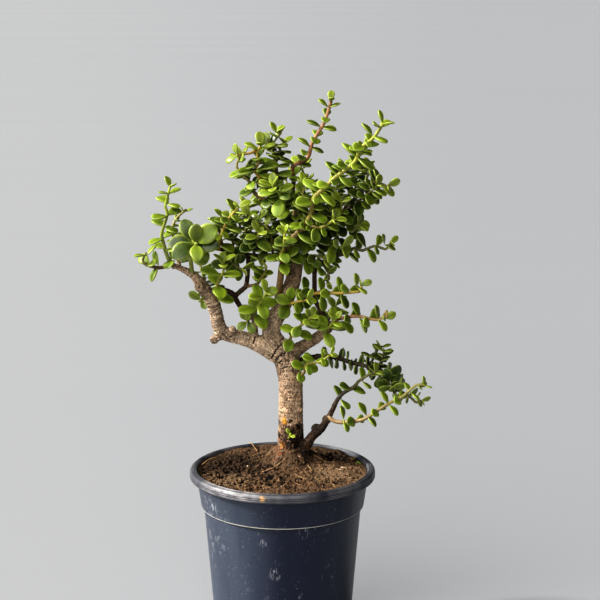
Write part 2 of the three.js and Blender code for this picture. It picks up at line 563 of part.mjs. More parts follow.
// ---------------------------------------------------------------- soil
// The soil's uneven top: a mound round the trunk, a rise towards the back, and shallow lumps.
function soilHeight(x, y) {
  const fromTrunk = Math.hypot(x - TRUNK_FOOT[0], y - TRUNK_FOOT[1]);
  const mound = MOUND_HEIGHT * Math.exp(-((fromTrunk / MOUND_SPREAD) ** 2));
  const lumps = LUMPS.height * Math.sin(x / LUMPS.x + 1) * Math.cos(y / LUMPS.y);
  const smallLumps = SMALL_LUMPS.height * Math.sin(x / SMALL_LUMPS.x - y / SMALL_LUMPS.y);
  return SOIL_EDGE + SOIL_SLOPE * y + mound + lumps + smallLumps;
}

function buildSoil(woodWithGap) {
  // The wall's flats lie nearer the axis than its corners, so twice the gap is kept.
  const radiusAt = (z) => valueOnLine(POT_INSIDE, z) - 2 * SEAT_GAP;
  const foot = POT_FLOOR + SEAT_GAP;
  const sideHeights = [foot, POT_LEDGE_HEIGHT, POT_LEDGE_HEIGHT + POT_LEDGE, POT_LIP_FOOT];
  const lowestEdge = SOIL_EDGE - SOIL_SLOPE * POT_MOUTH_RADIUS - LUMPS.height - SMALL_LUMPS.height;
  const topRings = [radiusAt(lowestEdge), ...SOIL_RINGS, 0];
  const geometry = turned([
    [0, foot], ...sideHeights.map((z) => [radiusAt(z), z]), ...topRings.map((r) => [r, SOIL_EDGE]),
  ], SOIL_SIDES);
  const position = geometry.attributes.position;
  for (let i = 0; i < position.count; i++)
    if (position.getZ(i) > POT_LIP_FOOT + SEAT_GAP)
      position.setZ(i, soilHeight(position.getX(i), position.getY(i)));
  return toSolid(geometry).subtract(woodWithGap);
}

// ---------------------------------------------------------------- wood
// A root that comes down the trunk's foot and dives into the soil.
function rootRoute([bearing, reach, radius]) {
  const [cos, sin] = [Math.cos(degToRad(bearing)), Math.sin(degToRad(bearing))];
  return ROOT_COURSE.map(([share, height, thickness]) => [
    TRUNK_FOOT[0] + cos * reach * share, TRUNK_FOOT[1] + sin * reach * share, SOIL_EDGE + height,
    radius * thickness,
  ]);
}

const LIMBS = [
  { route: TRUNK, sides: TRUNK_SIDES, step: TRUNK_STEP },
  ...[LEFT_LIMB, LEADER, RIGHT_LIMB].map((route) => ({ route, sides: LIMB_SIDES, step: LIMB_STEP })),
  ...OLD_TWIGS.map((route) => ({ route, sides: TWIG_SIDES, step: TWIG_STEP })),
  ...SURFACE_ROOTS.map((root) => ({ route: rootRoute(root), sides: TWIG_SIDES, step: TWIG_STEP })),
];

const buildWood = (grow) => wasm.Manifold.union(LIMBS.map((limb) => tubeAlong(limb, grow)));

// ---------------------------------------------------------------- leaves
const leafHalfWidth = (share) => valueOnLine(LEAF_STATIONS.map((at, i) => [at, LEAF_HALF_WIDTHS[i]]), share);

// A point of a leaf: `share` along it, `across` from edge to edge (-1 to 1) and `lift` from its lower
// face to its upper one (-1 to 1).
function leafPoint(leaf, share, across, lift) {
  const half = (leafHalfWidth(share) * leaf.length) / 2;
  const bend = LEAF_ARCH * leaf.length * share * share;
  return leaf.root.clone()
    .addScaledVector(leaf.along, share * leaf.length)
    .addScaledVector(leaf.across, across * half * LEAF_WIDTH)
    .addScaledVector(leaf.up, lift * half * LEAF_THICKNESS - bend);
}

// The points of a leaf that are tried against its neighbours, as [share, across].
const LEAF_SAMPLES = [
  [0.3, 0], [0.5, -0.85], [0.5, 0], [0.5, 0.85], [0.7, -0.9], [0.7, 0], [0.7, 0.9], [0.9, -0.9], [0.9, 0],
  [0.9, 0.9], [1, 0],
];

// A leaf that leaves its stem near `out`, raised by `rise` degrees. A pair faces up the stem and a little
// to the light.
function makeLeaf(frame, out, rise, length) {
  const facing = frame.along.clone().addScaledVector(LIGHT, LIGHT_PULL).normalize();
  const along = squareTo(facing, out).multiplyScalar(Math.cos(degToRad(rise)))
    .addScaledVector(facing, Math.sin(degToRad(rise)));
  const up = squareTo(along, facing);
  const across = new THREE.Vector3().crossVectors(up, along);
  const leaf = { root: frame.at.clone(), along, up, across, length };
  leaf.middle = leafPoint(leaf, LEAF_CREST, 0, 0);
  leaf.samples = LEAF_SAMPLES.map(([share, across]) => leafPoint(leaf, share, across, 0));
  return leaf;
}

function leafHolds(leaf, point, clearance) {
  const from = point.clone().sub(leaf.root);
  const share = from.dot(leaf.along) / leaf.length;
  const margin = clearance / leaf.length;
  if (share < LEAF_FREE_SHARE - margin || share > 1 + margin) return false;
  const bend = LEAF_ARCH * leaf.length * share * share;
  const half = leaf.length / 2;
  if (Math.abs(from.dot(leaf.up) + bend) > half * LEAF_THICKNESS + clearance) return false;
  return Math.abs(from.dot(leaf.across)) < half * LEAF_WIDTH * leafHalfWidth(share) + clearance;
}

const leafClearance = (a, b) => (a.owner === b.owner ? OWN_LEAF_CLEARANCE : LEAF_CLEARANCE);

function leavesMeet(a, b, clearance) {
  if (a.middle.distanceTo(b.middle) > LEAF_CREST * (a.length + b.length) + clearance) return false;
  return a.samples.some((p) => leafHolds(b, p, clearance))
    || b.samples.some((p) => leafHolds(a, p, clearance));
}

// The pieces of a tube that other shoots' leaves keep clear of.
function stemPieces(route, owner) {
  const line = smoothLine(route, STEM_PIECE);
  return line.slice(1).map((end, i) => {
    const [from, to] = [vector(line[i]), vector(end)];
    return { line: new THREE.Line3(from, to), radius: Math.max(line[i][3], end[3]), owner };
  });
}

function leafMeetsStem(leaf, stem) {
  const limit = stem.radius + STEM_CLEARANCE + (leaf.length * LEAF_THICKNESS) / 3;
  const reach = leaf.length * LEAF_CREST + limit + STEM_PIECE;
  if (leaf.middle.distanceTo(stem.line.start) > reach) return false;
  const nearest = new THREE.Vector3();
  return leaf.samples.some((p) => stem.line.closestPointToPoint(p, true, nearest).distanceTo(p) < limit);
}

// Ways to place a leaf, tried in turn until it is clear, as [swing round the stem, added rise, size].
const TRIES = [
  [0, 0, 1], [16, 0, 1], [-16, 0, 1], [0, 18, 1], [0, -16, 0.95], [32, 0, 0.95], [-32, 0, 0.95],
  [20, 20, 0.85], [-20, 20, 0.85], [0, 36, 0.8], [0, 0, 0.72], [40, 10, 0.7], [-40, 10, 0.7], [0, 30, 0.6],
];

// A stem's route with its radius at each point.
function withRadii({ route, from, to }) {
  return route.map((point, i) => [...point, lerp(from, to, i / (route.length - 1))]);
}

// The leaves of a stem: crossed pairs, smaller, closer and steeper towards the tip. A leaf that finds no
// clear place is left out.
function growLeaves(stem, seed, owner, placed, stems) {
  const draw = drawer(seed);
  const frames = evenFrames(withRadii(stem), STEM_STEP);
  const total = frames[frames.length - 1].length;
  const others = stems.filter((piece) => piece.owner !== owner);
  const youngAt = (along) => clamp(1 - (total - along) / (TIP_PAIRS * stem.gap), 0, 1);
  const places = [stem.bare];
  const nextPlace = (along) => along + stem.gap * (1 - TIP_GAP_SHRINK * youngAt(along));
  while (nextPlace(places.at(-1)) < total - STEM_END) places.push(nextPlace(places.at(-1)));
  if (total - places.at(-1) > TIP_ROOM) places.push(total - STEM_END);
  const grown = [];
  places.forEach((along, pair) => {
    const young = youngAt(along);
    const size = stem.leaf * (1 - TIP_SHRINK * young) * (1 + CHANCE.size * draw());
    const rise = LEAF_RISE + TIP_RISE * young * young + CHANCE.rise * draw();
    const bearing = stem.turn + (stem.cross ?? LEAF_CROSS) * pair + CHANCE.bearing * draw();
    const frame = frameAt(frames, along);
    const neighbours = [...placed, ...grown];
    for (const half of [0, HALF_TURN]) {
      const [lean, mate] = [CHANCE.lean * draw(), 1 + CHANCE.mate * draw()];
      for (const [swing, lift, scale] of TRIES) {
        const out = outward(frame, bearing + half + swing);
        const leaf = makeLeaf(frame, out, rise + lean + lift, size * mate * scale);
        leaf.owner = owner;
        if (others.some((piece) => leafMeetsStem(leaf, piece))) continue;
        if (neighbours.some((other) => leavesMeet(leaf, other, leafClearance(leaf, other)))) continue;
        grown.push(leaf);
        break;
      }
    }
  });
  placed.push(...grown);
  return grown;
}

// A leaf's edge from its root round by the tip, as [station, side], and a leaf as a solid: a coarse sphere
// with its poles on the two faces and its equator as that edge.
const LEAF_EDGE = [[0, -1], [1, -1], [2, -1], [2, 1], [1, 1]];

function leafSolid(leaf) {
  const geometry = new THREE.SphereGeometry(1, LEAF_EDGE.length, 2);
  const position = geometry.attributes.position;
  for (let i = 0; i < position.count; i++) {
    const [x, y, z] = [position.getX(i), position.getY(i), position.getZ(i)];
    const corner = Math.round((Math.atan2(z, -x) / FULL_TURN + 1) * LEAF_EDGE.length) % LEAF_EDGE.length;
    const [station, side] = LEAF_EDGE[corner];
    const edgePoint = leafPoint(leaf, LEAF_STATIONS[station], side, 0);
    const place = Math.abs(y) > 0.5 ? leafPoint(leaf, LEAF_CREST, 0, Math.sign(y)) : edgePoint;
    position.setXYZ(i, place.x, place.y, place.z);
  }
  return toSolid(geometry);
}

// ---------------------------------------------------------------- the plant
const woodWithGap = buildWood(SEAT_GAP);
const bonsai = new THREE.Group();
bonsai.add(meshOf("pot", buildPot(), PLASTIC));
bonsai.add(meshOf("soil", buildSoil(woodWithGap), SOIL));
bonsai.add(meshOf("wood", buildWood(0), BARK));

const allStems = [
  ...LIMBS.flatMap(({ route }) => stemPieces(route, "wood")),
  ...SHOOTS.flatMap(({ name, stems }) => stems.flatMap((stem) => stemPieces(withRadii(stem), name))),
];
const placedLeaves = [];
SHOOTS.forEach(({ name, stems }, shootNumber) => {
  const pieces = stems.flatMap((stem, stemNumber) => {
    const seed = FIRST_SEED + SEED_STEP * shootNumber + stemNumber;
    const leaves = growLeaves(stem, seed, name, placedLeaves, allStems);
    const tube = tubeAlong(
      { route: withRadii(stem), sides: STEM_SIDES, step: STEM_STEP }, 0, stem.turn + HALF_TURN / STEM_SIDES,
    );
    return [tube, ...leaves.map(leafSolid)];
  });
  bonsai.add(meshOf(name, wasm.Manifold.union(pieces).subtract(woodWithGap), LEAF));
});

export default bonsai;
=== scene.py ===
"""A jade bonsai in its nursery pot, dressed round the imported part.

Sizes are millimetres in the part's own frame: the origin is the centre of the pot's flat underside, +Z is up
and -Y is the tree's front. A piece becomes metres when its object is made.
"""
import logging
import math
from dataclasses import dataclass, field, replace
from enum import Enum
from functools import partial, reduce
from typing import Callable, Iterable, Sequence

import bmesh
import bpy
import numpy as np
from mathutils import Matrix, Vector, kdtree, noise


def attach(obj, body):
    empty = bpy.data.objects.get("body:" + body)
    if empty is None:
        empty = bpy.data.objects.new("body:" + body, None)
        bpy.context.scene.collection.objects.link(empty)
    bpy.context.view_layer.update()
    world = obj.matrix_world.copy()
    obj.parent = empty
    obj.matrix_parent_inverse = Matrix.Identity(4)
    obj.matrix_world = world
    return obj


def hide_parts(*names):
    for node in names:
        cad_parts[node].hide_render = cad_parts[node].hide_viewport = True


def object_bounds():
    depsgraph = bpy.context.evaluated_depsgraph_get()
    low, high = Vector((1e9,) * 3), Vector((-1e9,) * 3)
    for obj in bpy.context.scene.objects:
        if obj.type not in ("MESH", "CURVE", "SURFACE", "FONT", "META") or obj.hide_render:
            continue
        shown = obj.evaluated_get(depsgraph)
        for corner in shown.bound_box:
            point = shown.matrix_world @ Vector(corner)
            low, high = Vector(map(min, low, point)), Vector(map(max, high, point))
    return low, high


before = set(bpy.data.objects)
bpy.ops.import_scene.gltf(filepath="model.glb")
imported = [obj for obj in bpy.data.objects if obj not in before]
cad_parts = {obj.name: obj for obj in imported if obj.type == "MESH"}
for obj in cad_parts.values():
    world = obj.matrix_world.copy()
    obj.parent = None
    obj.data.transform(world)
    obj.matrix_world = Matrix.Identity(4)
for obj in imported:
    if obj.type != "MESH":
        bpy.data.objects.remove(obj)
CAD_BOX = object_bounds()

log = logging.getLogger("jade_bonsai")

MM = 0.001
BODY = "root"
Point = Sequence[float]
Shape = bmesh.types.BMesh
Finish = bpy.types.Material
Socket = bpy.types.NodeSocket


# ---------------------------------------------------------------- what the tree is made of
class Bark(Enum):
    """How dark a limb's bark is, from 0, the pale trunk, to 1, the blackish twigs."""

    PALE = 0.0
    TAN = 0.25
    BROWN = 0.6
    DARK = 1.0


class Tint(Enum):
    """A young stem's colours at its foot and at its tip."""

    GREEN = ("#8a9440", "#9aa83a")
    LIME = ("#84683e", "#a3a838")
    AMBER = ("#b08a3c", "#b5a345")
    TAN = ("#9a7f58", "#a09a55")
    ROSE = ("#a8765a", "#a8924e")
    RUSSET = ("#7d5238", "#b08058")
    BROWN = ("#59442c", "#8a8a45")
    DARK = ("#35291c", "#6b6a35")


@dataclass(frozen=True)
class Limb:
    """A piece of old wood along a route of (x, y, z, radius)."""

    route: Sequence[Point]
    bark: Bark


@dataclass(frozen=True)
class Stem:
    """A leafy stem and how its leaf pairs stand on it.

    `start` and `end` are its radii, `leaf` the length of a full-grown leaf, `gap` the spacing of its pairs,
    `turn` the bearing of the first pair, `bare` the leafless length at its foot and `cross` the turn from
    pair to pair.
    """

    route: Sequence[Point]
    start: float
    end: float
    leaf: float
    gap: float
    turn: float
    bare: float
    cross: float = 90

    def course(self) -> list[Point]:
        """Returns the route with the stem's radius at each point."""
        last = len(self.route) - 1
        return [(*point, self.start + (self.end - self.start) * i / last)
                for i, point in enumerate(self.route)]


@dataclass(frozen=True)
class Shoot:
    """A leafy shoot: one CAD node, its stems' tint and how light its leaves are, from 0 to 1.

    `fill` is the size of the small leaves between its pairs, of the pairs' own; 0 is for none.
    """

    name: str
    tint: Tint
    tone: float
    fill: float
    stems: Sequence[Stem]


SOIL_EDGE = 174.5
TRUNK_FOOT = (8, 25)
LIMBS = [
    Limb([(8, 25, 150, 14), (8, 25, 180, 15), (8, 25, 192, 13.5), (8, 25, 206, 12.6), (8, 25, 233, 11.9),
          (8, 25, 255, 11.7), (6, 25, 271, 12.3), (3, 25, 284, 12.5), (0, 25, 291, 9)], Bark.PALE),
    # to the left, with its knobs and its burl
    Limb([(4, 25, 280, 10), (-12, 24, 290, 9.6), (-26, 23, 297, 8.2), (-37, 22, 301, 7.2), (-48, 21, 304, 7),
          (-58, 20, 308, 7.3), (-62, 19, 316, 6.8), (-64, 18, 328, 6.5), (-68, 17, 340, 7),
          (-74, 15, 350, 6.8), (-78, 14, 356, 6.2), (-83, 12, 364, 4.4), (-91, 10, 370, 3.5),
          (-99, 8, 374, 2.8), (-109, 6, 379, 2.2)], Bark.PALE),
    Limb([(-55, 20, 310, 5.5), (-65, 19, 302, 4.6)], Bark.PALE),
    Limb([(-52, 19, 304, 4), (-48, 14, 311, 3.6)], Bark.TAN),
    Limb([(-74, 15, 350, 5), (-79, 8, 355, 4.6)], Bark.TAN),
    # the leader
    Limb([(2, 25, 281, 11), (-6, 25, 295, 10.3), (-11, 25, 306, 9.2), (-8, 26, 318, 8.8), (-2, 27, 329, 8.5),
          (4, 28, 341, 8.2), (9, 29, 353, 7.9), (12, 30, 365, 7.3), (14, 31, 379, 6.4), (16, 32, 391, 5.4),
          (17, 33, 404, 4.2)], Bark.TAN),
    # to the right, and the twig up from it
    Limb([(4, 25, 281, 9), (14, 24, 289, 7), (22, 22, 295, 5.8), (30, 20, 300, 5.4), (37, 18, 306, 5.1),
          (44, 16, 312, 4.6), (50, 14, 319, 3.4)], Bark.TAN),
    Limb([(42, 17, 309, 3.4), (38, 20, 328, 2.8), (32, 22, 338, 2.6), (31, 24, 355, 2.5), (31, 26, 368, 2.3)],
         Bark.DARK),
    # the crooked stub on the left limb, and the twig from it
    Limb([(-27, 23, 298, 4.5), (-27, 20, 318, 3), (-29, 19, 325, 2.8)], Bark.TAN),
    Limb([(-29, 19, 325, 2.8), (-35, 19, 329, 2.7), (-41, 19, 334, 2.6), (-45, 19, 341, 2.7),
          (-49, 19, 347, 3), (-58, 19, 350, 2.9)], Bark.DARK),
    Limb([(-46, 19, 343, 2.4), (-40, 20, 349, 2.6), (-35, 21, 353, 2.5), (-33, 23, 370, 2.3),
          (-33, 24, 383, 2.2)], Bark.DARK),
    # from the leader: left, up to the left, and to the right
    Limb([(11, 31, 375, 3.5), (-6, 29, 379, 2.8), (-34, 25, 383, 2.5), (-56, 18, 389, 2.2),
          (-65, 12, 392, 1.9)], Bark.DARK),
    Limb([(16, 32, 395, 4.2), (9, 30, 410, 3.3), (3, 28, 423, 2.9), (-6, 25, 432, 2.5), (-14, 22, 438, 2.1)],
         Bark.BROWN),
    Limb([(14, 31, 381, 4), (29, 34, 391, 3.2), (44, 36, 405, 2.8), (58, 36, 422, 2.4), (69, 34, 435, 2)],
         Bark.BROWN),
    # from the trunk's foot, and from below the fork
    Limb([(15, 20, 176, 7), (27, 16, 202, 4.9), (37, 14, 212, 4.2), (43, 13, 221, 3.2), (48, 12, 231, 2.7),
          (52, 12, 239, 2.2)], Bark.DARK),
    Limb([(12, 28, 274, 5.5), (25, 31, 279, 3.4), (36, 31, 281, 2.8)], Bark.DARK),
]
# Roots that show at the trunk's foot: bearing in degrees, reach, radius where they leave the trunk, and
# their course as shares of the reach, heights over the soil's edge and shares of the radius.
SURFACE_ROOTS = [(-62, 27, 5.5), (-125, 29, 5.5), (165, 27, 5.5), (80, 27, 5)]
ROOT_COURSE = [(0.1, 17, 1), (0.45, 12, 1), (0.75, 6, 0.8), (1, -4, 0.5)]

SHOOTS = [
    Shoot("left_upright", Tint.GREEN, 0.6, 0, [
        Stem([(-103, 8, 374), (-109, 7, 384), (-113, 4, 400), (-114, 2, 408), (-108, 0, 427),
              (-110, -1, 434), (-105, -2, 453)], 2, 1.2, leaf=18.5, gap=11.5, turn=130, bare=8)]),
    Shoot("left_tip", Tint.BROWN, 0.45, 0, [
        Stem([(-107, 6, 377), (-117, 1, 375), (-132, 0, 380), (-129, -2, 390)], 1.9, 1.2, leaf=19.5, gap=11,
              turn=100, bare=11)]),
    Shoot("left_rosette", Tint.GREEN, 0.22, 0, [
        Stem([(-86, 11, 366), (-87, -2, 392), (-83, -18, 404), (-79, -34, 404)], 2.2, 1.5, leaf=26, gap=4.5,
              turn=35, bare=49.1, cross=50)]),
    Shoot("vigorous", Tint.LIME, 0.6, 0.6, [
        Stem([(-5, 27, 337), (-2, 18, 359), (0, 13, 376), (4, 8, 390), (8, 3, 401), (20, -2, 415),
              (27, -8, 427), (30, -14, 444), (40, -18, 454), (49, -22, 464), (67, -26, 479), (73, -29, 493),
              (84, -31, 502), (93, -33, 516)], 3.3, 1.5, leaf=20, gap=12.5, turn=50, bare=55),
        Stem([(17, -3, 412), (29, -7, 416), (37, -12, 416), (50, -18, 425)], 1.8, 1.2, leaf=17, gap=10,
              turn=125, bare=7),
        Stem([(0, 13, 376), (-2, 2, 387), (1, -6, 393), (3, -14, 412)], 1.8, 1.2, leaf=17, gap=9.5, turn=20,
              bare=4)]),
    Shoot("tall", Tint.RUSSET, 0.4, 0, [
        Stem([(17, 33, 398), (16, 36, 420), (10, 38, 437), (11, 38, 453), (10, 36, 467), (24, 34, 475),
              (29, 32, 491), (40, 30, 510), (47, 28, 532), (46, 27, 531)], 2.5, 1.4, leaf=15.5, gap=11,
              turn=90, bare=28)]),
    Shoot("lower_front", Tint.AMBER, 0.45, 0, [
        Stem([(12, 26, 346), (21, 16, 346), (38, 9, 349), (55, 3, 350), (74, -2, 353), (75, -4, 359)], 1.9,
              1.2, leaf=17, gap=9.5, turn=75, bare=12)]),
    Shoot("lower_right", Tint.ROSE, 0.6, 0, [
        Stem([(47, 15, 316), (52, 12, 322), (56, 9, 324), (72, 6, 327), (83, 3, 325), (94, 0, 325),
              (100, -2, 334), (99, -4, 327)], 1.9, 1.1, leaf=16, gap=9.5, turn=85, bare=12)]),
    Shoot("side_shoot", Tint.DARK, 0.35, 0, [
        Stem([(31, 26, 365), (33, 26, 372), (38, 27, 375), (45, 26, 380), (63, 24, 385), (69, 22, 391),
              (76, 20, 388), (89, 18, 393), (99, 16, 390), (103, 14, 396)], 2, 1.1, leaf=16, gap=10, turn=15,
              bare=8),
        Stem([(36, 26, 374), (44, 18, 371), (43, 12, 357)], 1.4, 1, leaf=14, gap=10, turn=5, bare=5)]),
    Shoot("right_top", Tint.BROWN, 0.3, 0.8, [
        Stem([(66, 34, 431), (77, 32, 447), (84, 30, 453), (96, 28, 451), (105, 26, 446), (101, 24, 450)],
              1.9, 1.1, leaf=20, gap=10.5, turn=10, bare=8),
        Stem([(77, 32, 447), (81, 33, 457), (85, 34, 466), (83, 34, 469)], 1.5, 1, leaf=16.5, gap=10,
              turn=35, bare=5),
        Stem([(66, 34, 431), (64, 39, 446), (68, 42, 460), (76, 44, 480)], 1.5, 1, leaf=19, gap=8, turn=30,
              bare=10)]),
    Shoot("arch", Tint.DARK, 0.25, 0.8, [
        Stem([(33, 31, 281), (47, 31, 281), (58, 31, 278), (68, 30, 275), (81, 29, 272), (90, 28, 271),
              (95, 27, 269), (107, 26, 259), (111, 24, 250), (123, 22, 244), (131, 20, 237), (136, 18, 240)],
              2.5, 1.1, leaf=14, gap=10, turn=120, bare=11),
        Stem([(83, 28, 269), (88, 30, 278), (92, 31, 288), (97, 32, 291)], 1.3, 0.9, leaf=15.5, gap=7.5,
              turn=20, bare=4),
        Stem([(93, 27, 267), (97, 24, 278), (99, 22, 291), (98, 21, 291)], 1.3, 0.9, leaf=15.5, gap=6.5,
              turn=135, bare=4),
        Stem([(101, 26, 265), (103, 18, 259), (107, 13, 253), (108, 9, 250)], 1.3, 1, leaf=17, gap=7,
              turn=85, bare=3)]),
    Shoot("low_rise", Tint.DARK, 0.5, 0, [
        Stem([(50, 12, 236), (57, 10, 248), (70, 8, 257), (73, 6, 262), (86, 5, 271), (90, 4, 271)], 2.2,
              1.1, leaf=16, gap=14.5, turn=45, bare=10)]),
    Shoot("low_spray", Tint.TAN, 0.6, 0, [
        Stem([(45, 12, 226), (49, 10, 222), (59, 7, 221), (74, 3, 224), (82, 0, 228), (95, -3, 238),
              (110, -6, 248), (115, -9, 251), (128, -11, 263), (136, -12, 263)], 2.1, 1.2, leaf=14, gap=12.5,
              turn=85, bare=15)]),
    Shoot("upper_left_out", Tint.TAN, 0.5, 0.7, [
        Stem([(-13, 22, 437), (-22, 20, 440), (-28, 17, 447), (-30, 15, 454), (-34, 13, 459), (-43, 12, 470),
              (-39, 10, 480)], 1.9, 1.1, leaf=18.5, gap=11, turn=95, bare=16)]),
    Shoot("upper_left_mid", Tint.AMBER, 0.5, 0.7, [
        Stem([(-8, 24, 433), (-15, 16, 447), (-22, 11, 461), (-26, 8, 467), (-21, 6, 476), (-24, 7, 482),
              (-20, 6, 491)], 1.8, 1.1, leaf=20.5, gap=10.5, turn=165, bare=10),
        Stem([(-24, 8, 486), (-30, 3, 484), (-42, -1, 483)], 1.4, 1, leaf=18.5, gap=9.5, turn=55, bare=7)]),
    Shoot("upper_right", Tint.BROWN, 0.45, 0.75, [
        Stem([(-1, 27, 427), (-6, 25, 442), (-5, 24, 460), (-6, 22, 471), (-9, 20, 490), (0, 18, 503),
              (-5, 17, 502)], 1.9, 1.1, leaf=19, gap=13, turn=50, bare=10),
        Stem([(-7, 22, 472), (-2, 25, 481), (-2, 26, 488), (3, 27, 493)], 1.4, 1, leaf=16, gap=9.5, turn=140,
              bare=4),
        Stem([(-6, 20, 485), (-12, 15, 491), (-13, 12, 497)], 1.3, 1, leaf=19, gap=6.5, turn=100, bare=3)]),
    Shoot("centre_rosette", Tint.GREEN, 0.65, 0.7, [
        Stem([(2, 27, 423), (1, 12, 433), (0, 0, 443), (-9, -8, 455)], 1.7, 1.2, leaf=20.5, gap=8, turn=100,
              bare=8)]),
    Shoot("left_crown_front", Tint.AMBER, 0.5, 0.7, [
        Stem([(-61, 15, 390), (-58, 8, 405), (-50, 5, 422), (-41, 3, 433)], 1.7, 1.1, leaf=19, gap=9.5,
              turn=60, bare=7)]),
    Shoot("left_inner", Tint.TAN, 0.5, 0.8, [
        Stem([(-97, 9, 372), (-102, 18, 389), (-105, 22, 409), (-101, 24, 419), (-92, 25, 427)], 1.7, 1.1,
              leaf=13, gap=14.5, turn=115, bare=6)]),
    Shoot("left_riser", Tint.LIME, 0.75, 0, [
        Stem([(-66, 17, 334), (-63, 8, 349), (-60, 3, 365), (-56, -1, 370), (-55, -4, 383)], 1.7, 1.1,
              leaf=20.5, gap=13, turn=100, bare=12)]),
    Shoot("left_bud", Tint.GREEN, 0.4, 0, [
        Stem([(-74, 13, 345), (-79, 2, 342)], 1.5, 1.1, leaf=17.5, gap=5.5, turn=55, bare=9)]),
    Shoot("stub_rosette", Tint.GREEN, 0.75, 0, [
        Stem([(-27, 20, 320), (-25, 10, 333), (-20, 3, 341), (-15, -3, 352)], 1.6, 1.2, leaf=20.5, gap=8.5,
              turn=30, bare=9)]),
    Shoot("stub_cluster", Tint.LIME, 0.75, 0, [
        Stem([(-35, 21, 353), (-25, 20, 355), (-21, 18, 360), (-15, 16, 372), (-20, 15, 379)], 1.6, 1.1,
              leaf=20.5, gap=9.5, turn=0, bare=11)]),
    Shoot("stub_sprig", Tint.TAN, 0.6, 0, [
        Stem([(-29, 19, 324), (-34, 12, 320), (-34, 6, 321)], 1.3, 1, leaf=14.5, gap=5, turn=95, bare=8)]),
    Shoot("left_crown_a", Tint.BROWN, 0.4, 0.8, [
        Stem([(-38, 24, 384), (-35, 26, 397), (-35, 28, 415), (-31, 29, 434)], 1.4, 1, leaf=19, gap=10,
              turn=40, bare=6)]),
    Shoot("left_crown_b", Tint.BROWN, 0.4, 0.8, [
        Stem([(-20, 27, 381), (-17, 29, 396), (-14, 31, 409), (-21, 33, 433)], 1.5, 1, leaf=16, gap=11.5,
              turn=65, bare=6)]),
    Shoot("left_crown_low", Tint.DARK, 0.15, 0.75, [
        Stem([(-49, 20, 387), (-49, 12, 379), (-37, 8, 371)], 1.4, 1, leaf=20.5, gap=7.5, turn=165,
              bare=3)]),
    Shoot("left_crown_mid", Tint.BROWN, 0.45, 0.75, [
        Stem([(-27, 26, 383), (-27, 14, 393), (-23, 6, 401), (-22, 0, 409)], 1.5, 1.1, leaf=20.5, gap=7.5,
              turn=40, bare=10)]),
    Shoot("knob_back", Tint.BROWN, 0.4, 0.8, [
        Stem([(-68, 18, 340), (-74, 34, 349), (-79, 46, 365), (-85, 54, 376)], 1.8, 1.1, leaf=16.5, gap=12.5,
              turn=85, bare=12)]),
    Shoot("crotch_sprig", Tint.TAN, 0.55, 0, [
        Stem([(4, 21, 290), (9, 8, 307), (20, 0, 321), (25, -9, 324), (27, -16, 331)], 1.6, 1.1, leaf=17,
              gap=10, turn=170, bare=18)]),
    Shoot("limb_right_sprig", Tint.GREEN, 0.85, 0, [
        Stem([(38, 17, 307), (42, 6, 312), (51, -2, 326)], 1.5, 1.1, leaf=18.5, gap=8, turn=85, bare=3)]),
    Shoot("lower_front_left", Tint.AMBER, 0.5, 0, [
        Stem([(2, 24, 337), (8, 10, 338), (11, 2, 341), (24, -5, 345)], 1.5, 1.1, leaf=18, gap=8.5, turn=150,
              bare=10)]),
    Shoot("trunk_sprig", Tint.LIME, 0.6, 0, [
        Stem([(14, 20, 265), (21, 8, 270), (23, 2, 280), (36, -6, 285), (47, -12, 294)], 1.5, 1, leaf=13,
              gap=9, turn=20, bare=9)]),
    Shoot("right_top_low", Tint.BROWN, 0.4, 0.75, [
        Stem([(60, 36, 424), (70, 27, 432), (75, 20, 438), (91, 14, 452)], 1.4, 1, leaf=17, gap=7, turn=30,
              bare=7)]),
    Shoot("right_mid_front", Tint.LIME, 0.4, 0.7, [
        Stem([(44, 36, 405), (50, 24, 413), (56, 14, 423), (56, 6, 440)], 1.5, 1, leaf=19, gap=8.5, turn=170,
              bare=6)]),
    Shoot("right_mid_low", Tint.BROWN, 0.4, 0.75, [
        Stem([(56, 36, 419), (62, 29, 411), (67, 24, 406), (74, 19, 414)], 1.4, 1, leaf=20.5, gap=8, turn=15,
              bare=7)]),
    Shoot("right_mid_up", Tint.BROWN, 0.4, 0.8, [
        Stem([(49, 36, 410), (52, 42, 426), (55, 48, 440), (58, 52, 456), (60, 54, 466)], 1.6, 1, leaf=18,
              gap=14, turn=135, bare=7)]),
    Shoot("centre_back", Tint.BROWN, 0.4, 0.8, [
        Stem([(38, 35, 400), (39, 44, 416), (33, 52, 433), (27, 57, 444), (17, 60, 465)], 1.6, 1, leaf=20.5,
              gap=13, turn=10, bare=7)]),
    Shoot("centre_front_right", Tint.LIME, 0.6, 0.7, [
        Stem([(17, 31, 392), (25, 17, 400), (31, 7, 409), (32, -1, 425)], 1.5, 1, leaf=19.5, gap=9.5,
              turn=95, bare=6)]),
    Shoot("centre_front_low", Tint.GREEN, 0.65, 0.7, [
        Stem([(29, 34, 391), (37, 22, 395), (45, 14, 395), (58, 8, 393)], 1.5, 1, leaf=20.5, gap=8, turn=140,
              bare=5)]),
    Shoot("right_mid_rise", Tint.BROWN, 0.4, 0.75, [
        Stem([(34, 35, 396), (40, 26, 413), (47, 20, 430), (53, 15, 457)], 1.6, 1, leaf=20.5, gap=10.5,
              turn=25, bare=6)]),
    Shoot("crown_centre", Tint.TAN, 0.6, 0.75, [
        Stem([(9, 30, 410), (12, 17, 421), (18, 8, 435), (21, 4, 455)], 1.5, 1, leaf=17, gap=10, turn=45,
              bare=4)]),
    Shoot("base_sprout", Tint.GREEN, 0.75, 0, [
        Stem([(6, 14, 203), (7, 9, 206), (8, 6, 210)], 1.2, 1, leaf=11, gap=9, turn=35, bare=8.2)]),
    Shoot("back_leader_low", Tint.BROWN, 0.4, 0.8, [
